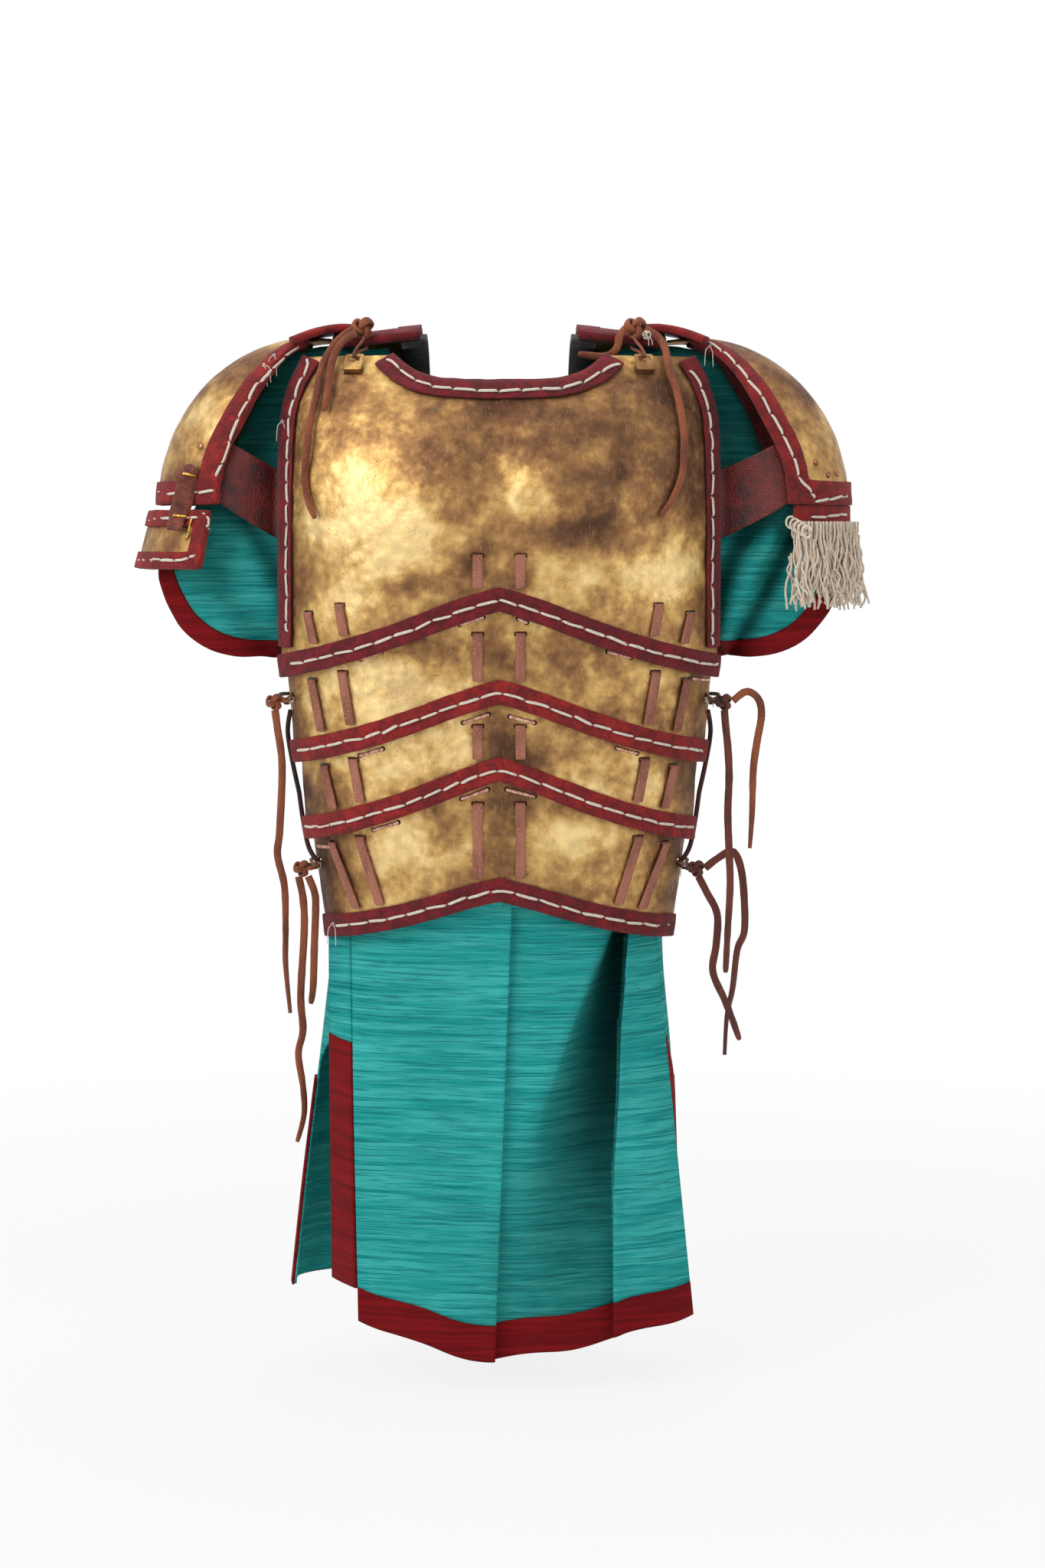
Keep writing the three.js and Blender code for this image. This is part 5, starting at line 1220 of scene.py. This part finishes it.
def tangle(name, body, centre, reach, loops, seed, stray=1.0):
    """A few turns of white thread wound round a tie, with two cut ends that stray from it"""
    chance = random.Random(seed)
    centre = Vector(centre)
    parts = []
    for n in range(loops):
        axis = Vector((chance.uniform(-1, 1), chance.uniform(-1, 1), chance.uniform(-0.6, 0.6))).normalized()
        side = axis.orthogonal().normalized()
        up = axis.cross(side)
        path = [centre + (side * cos(a) + up * sin(a)) * reach + axis * thread_wave * sin(3 * a)
                for a in steps(0, 2 * pi * 0.93, 16)]
        parts.append(swept(path, lambda t: oval(wound_thread, wound_thread, 6, 0, 2), axis))
    for n in range(2):
        lean = Vector((chance.uniform(-1, 1), -0.4, chance.uniform(-1, 0.2))).normalized()
        path = curved([centre + lean * reach * 0.5, centre + lean * reach * 1.6 * stray,
                       centre + lean * reach * 2 * stray + Vector((0, 0, -thread_sag * stray))], 0.0012)
        parts.append(swept(path, lambda t: oval(thread_end, thread_end, 6, 0, 2), front))
    attached(name, parts, white_thread, body)


thread_places = {"upper": ("hoop_1", (0.1795, -0.0475, -0.3165)),
                 "lower": ("hoop_3", (0.157, -0.029, -0.461))}
seed = 2
for level, (body, place) in thread_places.items():
    for side, word in sides:
        tangle(f"{word}_{level}_side_thread", body, mirrored(side, [place])[0], 0.0033, 5, seed)
        seed += 1

# Back lame bindings: a strip of red suede folded over the lower edge of each back lame and sewn through,
# showing at the sides behind the front plates.
lame_binding_high, lame_binding_thick, folded_end_more = 0.0165, 0.0046, 0.004
body_flatness, lame_turn, look_round, binding_rise, binding_step = 1.6, 1.42, 0.11, 0.007, 0.004
for number in (1, 2, 3):
    lame = frame["nodes"][f"back_lame_{number}"].data.vertices
    foot = []
    for angle in steps(-lame_turn, lame_turn, 33):
        near = [v.co for v in lame if abs(atan2(v.co.x, v.co.y * body_flatness) - angle) < look_round]
        if near:
            foot.append(min(near, key=lambda co: co.z).copy())
    foot = [p for n, p in enumerate(foot) if n == 0 or (p - foot[n - 1]).length > binding_step]
    path = curved([p + Vector((0, 0, binding_rise)) for p in foot], binding_step)
    outs = [Vector((p.x, p.y * body_flatness, 0)).normalized() for p in path]

    def lame_strip(t):
        """Section of the binding, thicker where its ends are folded back"""
        folded = folded_end_more * ease((abs(t - 0.5) - 0.46) / 0.03)
        return oval(lame_binding_high, lame_binding_thick + folded, 14)

    body = f"hoop_{number}"
    strip = attached(f"back_lame_binding_{number}", [swept(path, lame_strip, outs)], red_suede, body)
    skin = Skin(strip)
    seam = [skin.near(p + out * 0.004) for p, out in zip(path, outs)]
    sewn(f"back_lame_stitches_{number}", body, [seam], seed=20 + number)

# Shoulder ties: a small brass tongue riveted to the top of the chest plate, with a thong through its slot
# that goes over the shoulder flap of the back plate and is knotted in front.
plain_brass = finish("plain brass", brass_paint(0.55))
for side, word in sides:
    mark_patina_and_light(dressed(f"{word}_shoulder_loop", "brass", plain_brass), [], 0.05)
    tied(side, word, "shoulder_knot", side_thong, 1.35, 8 if word == "right" else 9)
tangle("left_shoulder_thread", "torso", (0.1275, -0.0475, -0.0015), 0.0036, 6, 7)

# Pauldrons: domed caps of plainer brass over the shoulders, hung from leather inside, their front, lower and
# back edges bound with brighter red suede.
shoulder_brass = finish("hammered shoulder brass", brass_paint(0.32, 0.08))
cap_seams = {
    "right": [([(370, 446), (339, 476), (319, 512), (300, 553), (283, 598), (274, 622)],
               [(400, 450), (373, 474), (350, 500), (334, 524), (313, 566), (297, 607), (290, 630)]),
              ([(207, 631), (240, 633), (283, 630)], [(200, 657), (240, 659), (290, 654)])],
    "left": [([(919, 446), (948, 470), (973, 505), (999, 543), (1021, 585), (1040, 625), (1052, 660)],
              [(932, 440), (964, 461), (992, 499), (1021, 543), (1047, 591), (1066, 623), (1075, 650)]),
             ([(1060, 658), (1076, 654), (1098, 646), (1118, 640)],
              [(1052, 682), (1068, 678), (1095, 672), (1120, 662)])],
}
rivet_copper = finish("rivet copper", ring_paint, Metallic=1.0)
cap_rivets = {"right": [(262, 583)], "left": [(1066, 604), (1082, 620), (1093, 618)]}
# Patina of the shoulder caps, partly painted light: its darker and brighter patches stand for both patina and
# the highlight and shade on the domes
cap_patina_and_light = {
    "right": [(-0.28, -0.13, 0.03, 0.03, 0.45), (-0.2, -0.04, 0.04, 0.03, 0.35),
              (-0.24, -0.08, 0.03, 0.03, -0.3)],
    "left": [(0.27, -0.05, 0.03, 0.03, 0.4), (0.2, -0.03, 0.04, 0.03, 0.35), (0.25, -0.1, 0.03, 0.03, -0.3)],
}
rivet_round, rivet_rises, rivet_dome = 12, (-0.25, 0.15, 0.55, 1.0, 1.35), 0.55


def rivet(spot, out, radius=0.0032):
    """A low domed rivet head standing on a surface"""
    side = out.orthogonal().normalized()
    up = out.cross(side)
    turns = steps(0, 2 * pi * (rivet_round - 1) / rivet_round, rivet_round)
    points = []
    for rise in rivet_rises:
        middle, reach = spot + out * radius * rivet_dome * sin(rise), radius * cos(rise)
        points.extend(middle + (side * cos(turn) + up * sin(turn)) * reach for turn in turns)
    last = len(rivet_rises) - 1
    faces = []
    for k in range(last):
        low, high = k * rivet_round, (k + 1) * rivet_round
        for n in range(rivet_round):
            m = (n + 1) % rivet_round
            faces.append((low + n, low + m, high + m, high + n))
    return points, faces + [tuple(range(last * rivet_round, len(points)))]


def both_faces(pairs):
    """Seams on the front, and the same ones at the back"""

    def tracks(skin):
        found = []
        for pair in pairs:
            found.append(skin.middle(*pair))
            lines = [[seen(*place, -0.05).xz for place in line] for line in pair]
            found.append(skin.middle(*lines, 0.003, skin.behind))
        return [track for track in found if track]

    return tracks


for side, word in sides:
    cap = dressed(f"{word}_pauldron", "hammered", shoulder_brass)
    mark_patina_and_light(beaten(cap, 0.0006, 0.022), cap_patina_and_light[word], 0.1)
    bound(f"{word}_pauldron_binding", red_suede, both_faces(cap_seams[word]), seed=30)
    skin = Skin(cap)
    heads = [rivet(*skin.under(*place)) for place in cap_rivets[word] if skin.under(*place)]
    if heads:
        attached(f"{word}_pauldron_rivets", heads, rivet_copper, f"{word}_pauldron")

# Arm straps: broad dark red leather from inside each shoulder cap to behind the armhole of the chest plate.
# The left one shows a spare hole and the rivet that fixes it to the cap.
def strap_paint(start):
    grain = start.cells(0.0016, feature="F1")
    wear = start.grain(0.02, 4, rough=0.65)
    colour = wear.between(0.38, 0.66).blend(shade(112, 24, 16), shade(56, 9, 9))
    colour = (grain * 0.25).blend(colour, shade(40, 8, 8))
    return {"Base Color": colour, "Roughness": 0.36 + 0.25 * wear, "relief": (grain * -0.5 + wear, 0.0009)}


strap_leather = finish("dark red strap leather", strap_paint)
straps = {word: dressed(f"{word}_arm_strap", "leather", strap_leather, 3) for side, word in sides}
strap_hole, strap_rivet = (940, 707), (999, 609)
skin = Skin(straps["left"])
hole, head = skin.under(*strap_hole), skin.under(*strap_rivet)
if hole and head:
    attached("left_strap_hole", [disc(*hole, 0.0024, 0.0003)], painted_hole_shadow, "torso")
    attached("left_strap_rivet", [rivet(*head, 0.0026)], rivet_copper, "torso")

# Arm lame: a curved brass strip below the right shoulder cap, bound with suede on every side and hung from a
# leather tab that is stapled to both with yellow wire.
lame_seams = [([(192, 668), (230, 658), (266, 650)], [(190, 692), (232, 682), (262, 674)]),
              ([(258, 662), (257, 700), (257, 730)], [(284, 660), (284, 700), (282, 732)]),
              ([(181, 704), (215, 708), (256, 713)], [(178, 728), (220, 738), (262, 742)])]
arm_lame = beaten(dressed("right_arm_lame", "hammered", shoulder_brass))
mark_patina_and_light(arm_lame, [(-0.29, -0.18, 0.03, 0.02, 0.2)], 0.1)
bound("right_arm_lame_binding", red_suede, both_faces(lame_seams), seed=41, dash=0.014)
tab_guide = closer("right_lame_tab", "guide", 1)
tab_skin = Skin(tab_guide)
bpy.data.objects.remove(tab_guide)
tab_top, tab_foot, tab_wires = (249, 600), (230, 688), [(247, 620), (235, 674)]
tab_width, tab_thick, tab_round, tab_rows = 0.0185, 0.003, 0.17, 30


def tab_paint(start):
    crossed = start.threads(0.0012, "DIAGONAL", 3)
    wear = start.grain(0.008, 4, rough=0.65)
    colour = wear.between(0.35, 0.65).blend(shade(150, 74, 48), shade(92, 36, 24))
    colour = (crossed.between(0.6, 0.9) * 0.5).blend(colour, shade(64, 24, 16))
    return {"Base Color": colour, "Roughness": 0.4 + 0.25 * wear, "relief": (wear - crossed * 0.6, 0.0008)}


tab_leather = finish("brown tab leather", tab_paint)
down_tab = [tab_skin.near(seen(mix(tab_top[0], tab_foot[0], t), mix(tab_top[1], tab_foot[1], t)))
            for t in steps(0, 1, tab_rows)]
around_rows = [down_tab[max(k - 3, 0):k + 4] for k in range(tab_rows)]
tab_outs = [sum((normal for _, normal in rows), Vector()).normalized() for rows in around_rows]
tab_line = [spot + out * 0.0008 for (spot, _), out in zip(down_tab, tab_outs)]


def tab_strip(t):
    """Section of the tab, with a round top and narrowing a little downwards"""
    rounded = sqrt(1 - max(0, 1 - t / tab_round - 0.03) ** 2)
    return oval(tab_width * rounded * (1 - 0.12 * t), tab_thick, 16, 0, 5)


tab = mesh_piece("right_lame_tab_leather", [swept(tab_line, tab_strip, tab_outs)], tab_leather)
stands_for(tab, "right_lame_tab")
yellow_wire = finish("yellow wire", lambda start: {
    "Base Color": start.grain(0.002).between(0.4, 0.6).blend(shade(232, 186, 84), shade(176, 122, 48)),
    "Roughness": 0.35 + 0.1 * start.grain(0.004), "relief": (start.grain(0.002), 0.0001)}, Metallic=0.8)
wires = []
tab_skin = Skin(tab)
for x, y in tab_wires:
    a, b = tab_skin.under(x - 7, y - 1), tab_skin.under(x + 7, y + 1)
    if a and b:
        (start, start_out), (end, end_out) = a, b
        path = curved([start - start_out * 0.001, start + start_out * 0.0008, end + end_out * 0.0008,
                       end - end_out * 0.001], 0.001)
        wires.append(swept(path, lambda t: oval(0.0024, 0.0018, 8, 0, 2), start_out))
lame_skin = Skin(*(bpy.data.objects[n] for n in ("right_arm_lame_hammered", "right_arm_lame_binding_suede")))
hook_places = [(252, 678), (250, 684), (247, 700), (243, 704)]
hook = [lame_skin.under(*place) for place in hook_places]
if all(hook):
    path = curved([spot + out * 0.0016 for spot, out in hook], 0.0012)
    wires.append(swept(path, lambda t: oval(0.0022, 0.0018, 8, 0, 2), hook[0][1]))
attached("right_lame_tab_staples", wires, yellow_wire, "right_arm_lame")

# Shoulder hangers: a short dark red strap under the top of each cap, sewn to the flap of the back plate, and
# the cap's own red binding carried on over it.
hanger_places = [(0.118, 0.004, 0.0035), (0.135, 0.0, 0.004), (0.155, -0.002, 0.0015),
                 (0.178, -0.004, -0.007)]
edge_places = [(0.123, -0.024, 0.0055), (0.14, -0.026, 0.006), (0.16, -0.031, 0.002), (0.18, -0.038, -0.006)]
for side, word in sides:
    hanger_strip, edge_strip = oval(0.05, 0.0032, 20, 0, 5), oval(0.0125, 0.0075, 16, 0.35 * side)
    for name, places, strip, up, material, slot in (
            ("shoulder_hanger", hanger_places, hanger_strip, Vector((0, 0, 1)), strap_leather, "strap"),
            ("hanger_binding", edge_places, edge_strip, Vector((0, -0.4, 1)), red_suede, "suede")):
        route = mirrored(side, places)
        made = mesh_piece(f"{word}_{name}", [swept(curved(route, 0.003), lambda t: strip, up)], material)
        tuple(route[0])
        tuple(route[-1])
        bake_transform(made)

# Fringe: a second bound strip under the left shoulder cap, with a row of loose cream cotton strings looped
# over it that hang down over the upper arm.
band_top, band_foot = [(1056, 676), (1085, 674), (1112, 668)], [(1060, 697), (1086, 700), (1114, 692)]
bound("left_fringe_band", red_suede, lambda skin: [skin.middle(band_top, band_foot)], seed=50)
string_thick, string_step, string_sway, knot_count = 0.0019, 0.003, 0.0026, 5
cotton = finish("cream cotton string", two_tone(0.0012, 2, (0.3, 0.65), (216, 194, 168), (252, 238, 220),
                                                0.85, 0.05, 0.0008, (1, 1, 0.5)), Sheen_Weight=0.2)
block = Skin(frame["nodes"]["left_fringe"])
low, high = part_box("left_fringe")
chance = random.Random(11)
strings = []
for x in steps(low.x, high.x, int((high.x - low.x) / string_step)):
    for y in steps(low.y, high.y, int((high.y - low.y) / string_step)):
        spot = Vector((x + chance.uniform(-0.001, 0.001), y + chance.uniform(-0.001, 0.001),
                       mix(low.z, high.z, 0.5)))
        hits, level = [], low.z - 0.01
        while True:
            hit = block.tree.ray_cast(Vector((spot.x, spot.y, level)), Vector((0, 0, 1)))[0]
            if not hit:
                break
            hits.append(hit.z)
            level = hit.z + 0.0003
        if len(hits) < 2 or not hits[0] < spot.z < hits[-1]:
            continue
        foot = hits[0] + chance.uniform(-0.003, 0.016)
        head = hits[-1] + 0.001
        phase, lean, pace = chance.uniform(0, 6.3), chance.uniform(-0.007, 0.007), chance.uniform(5, 13)
        path = []
        for t in steps(0, 1, 24):
            sway = string_sway * ease(t * 2)
            path.append(Vector((spot.x + sway * sin(pace * t + phase) + lean * t * t,
                                spot.y + sway * cos(pace * 0.8 * t + phase * 2) - 0.003 * t,
                                mix(head, foot, t))))
        size = string_thick * chance.uniform(0.8, 1.2)
        strings.append(swept(path, lambda t: oval(size, size, 5, 0, 2), front))
for n in range(knot_count):
    knot = Vector((low.x + 0.004 + 0.003 * n, low.y + 0.02 - 0.004 * n, high.z - 0.002 * n))
    loop = [knot + Vector((0.004 * cos(a), -0.003, 0.005 * sin(a))) for a in steps(0, 5.8, 14)]
    strings.append(swept(loop, lambda t: oval(0.0022, 0.0022, 6, 0, 2), front))
stands_for(mesh_piece("left_fringe_strings", strings, cotton), "left_fringe")

# Loose threads: the white thread of the seams is knotted on the suede where a seam ends, and its ends
# are left uncut.
thread_ends = {"right_pauldron": ("right_pauldron_binding_suede", [(358, 465), (371, 449), (345, 478)]),
               "left_pauldron": ("left_pauldron_binding_suede", [(928, 452), (1058, 672)]),
               "torso": ("chest_right_armhole_binding_suede", [(370, 551)]),
               "hoop_1": ("belly_binding_1_suede", [(385, 962)]),
               "hoop_3": ("belly_binding_3_suede", [(436, 1206)])}
for body, (piece, places) in thread_ends.items():
    skin = Skin(bpy.data.objects[piece])
    found = [skin.under(*place) for place in places]
    for number, hit in enumerate(found):
        if hit:
            tangle(f"{body}_thread_end_{number}", body, hit[0] + hit[1] * 0.001, 0.0013, 1, 30 + number, 3)

# Studio: a pale floor a little below the hem, a white surround, and three large soft lamps, the strongest
# in front on the wearer's right.
floor_level, ambient = solid_box[0][2] - 0.03, 0.42
white_world = bpy.data.worlds.new("white surround")
bpy.context.scene.world = white_world
white_world.use_nodes = True
white_world.node_tree.nodes.clear()
sky = Output(white_world.node_tree)


def path_output(start, name):
    return Output(start.tree, start.socket.node.outputs[name])


def background_rays(start):
    """1 for the rays that see the surround itself, straight or mirrored, and 0 for those that only light"""
    rays = start.node("LightPath")
    shown = start.sum("MAXIMUM", path_output(rays, "Is Camera Ray"), path_output(rays, "Is Glossy Ray"))
    return start.sum("MAXIMUM", shown, path_output(rays, "Is Transmission Ray"))


shown = background_rays(sky)
sky.node("OutputWorld", {"Surface": sky.node("Background", {"Color": (1, 1, 1, 1),
                                                           "Strength": ambient + (1 - ambient) * shown})})
floor_corners = [Vector((x, y, floor_level)) for x, y in ((-30, -6), (30, -6), (30, 40), (-30, 40))]
pale = bpy.data.materials.new("pale floor")
pale.use_nodes = True
pale.node_tree.nodes.clear()
start = Output(pale.node_tree)
matt = start.node("BsdfDiffuse", {"Color": (0.93, 0.93, 0.93, 1)})
glow = start.node("Emission", {"Color": (1, 1, 1, 1), "Strength": 1})
far = start.node("VectorMath", {0: start.node("TexCoord", output=3)}, 1, operation="LENGTH").between(1.0, 1.9)
shine = background_rays(start) * (0.84 + 0.16 * far)
start.node("OutputMaterial", {"Surface": start.node("MixShader", {0: shine, 1: matt, 2: glow})})
floor = mesh_piece("floor", [(floor_corners, [(0, 1, 2, 3)])], pale, False)
lamps = [("key", (-1.9, -1.9, 1.4), 2.8, 46), ("fill", (1.9, -1.9, 0.5), 1.8, 7),
         ("top", (0.1, 0.5, 2.2), 1.8, 18)]
lit_place = Vector((0, 0, -0.4))
for name, place, size, power in lamps:
    lamp = bpy.data.lights.new(name, "AREA")
    lamp.shape = "DISK"
    lamp.size = size
    lamp.energy = power
    stand = bpy.data.objects.new(name, lamp)
    stand.location = place
    stand.rotation_euler = (lit_place - Vector(place)).to_track_quat("-Z", "Y").to_euler()
    bpy.context.scene.collection.objects.link(stand)
bpy.context.scene.view_settings.view_transform = "Standard"
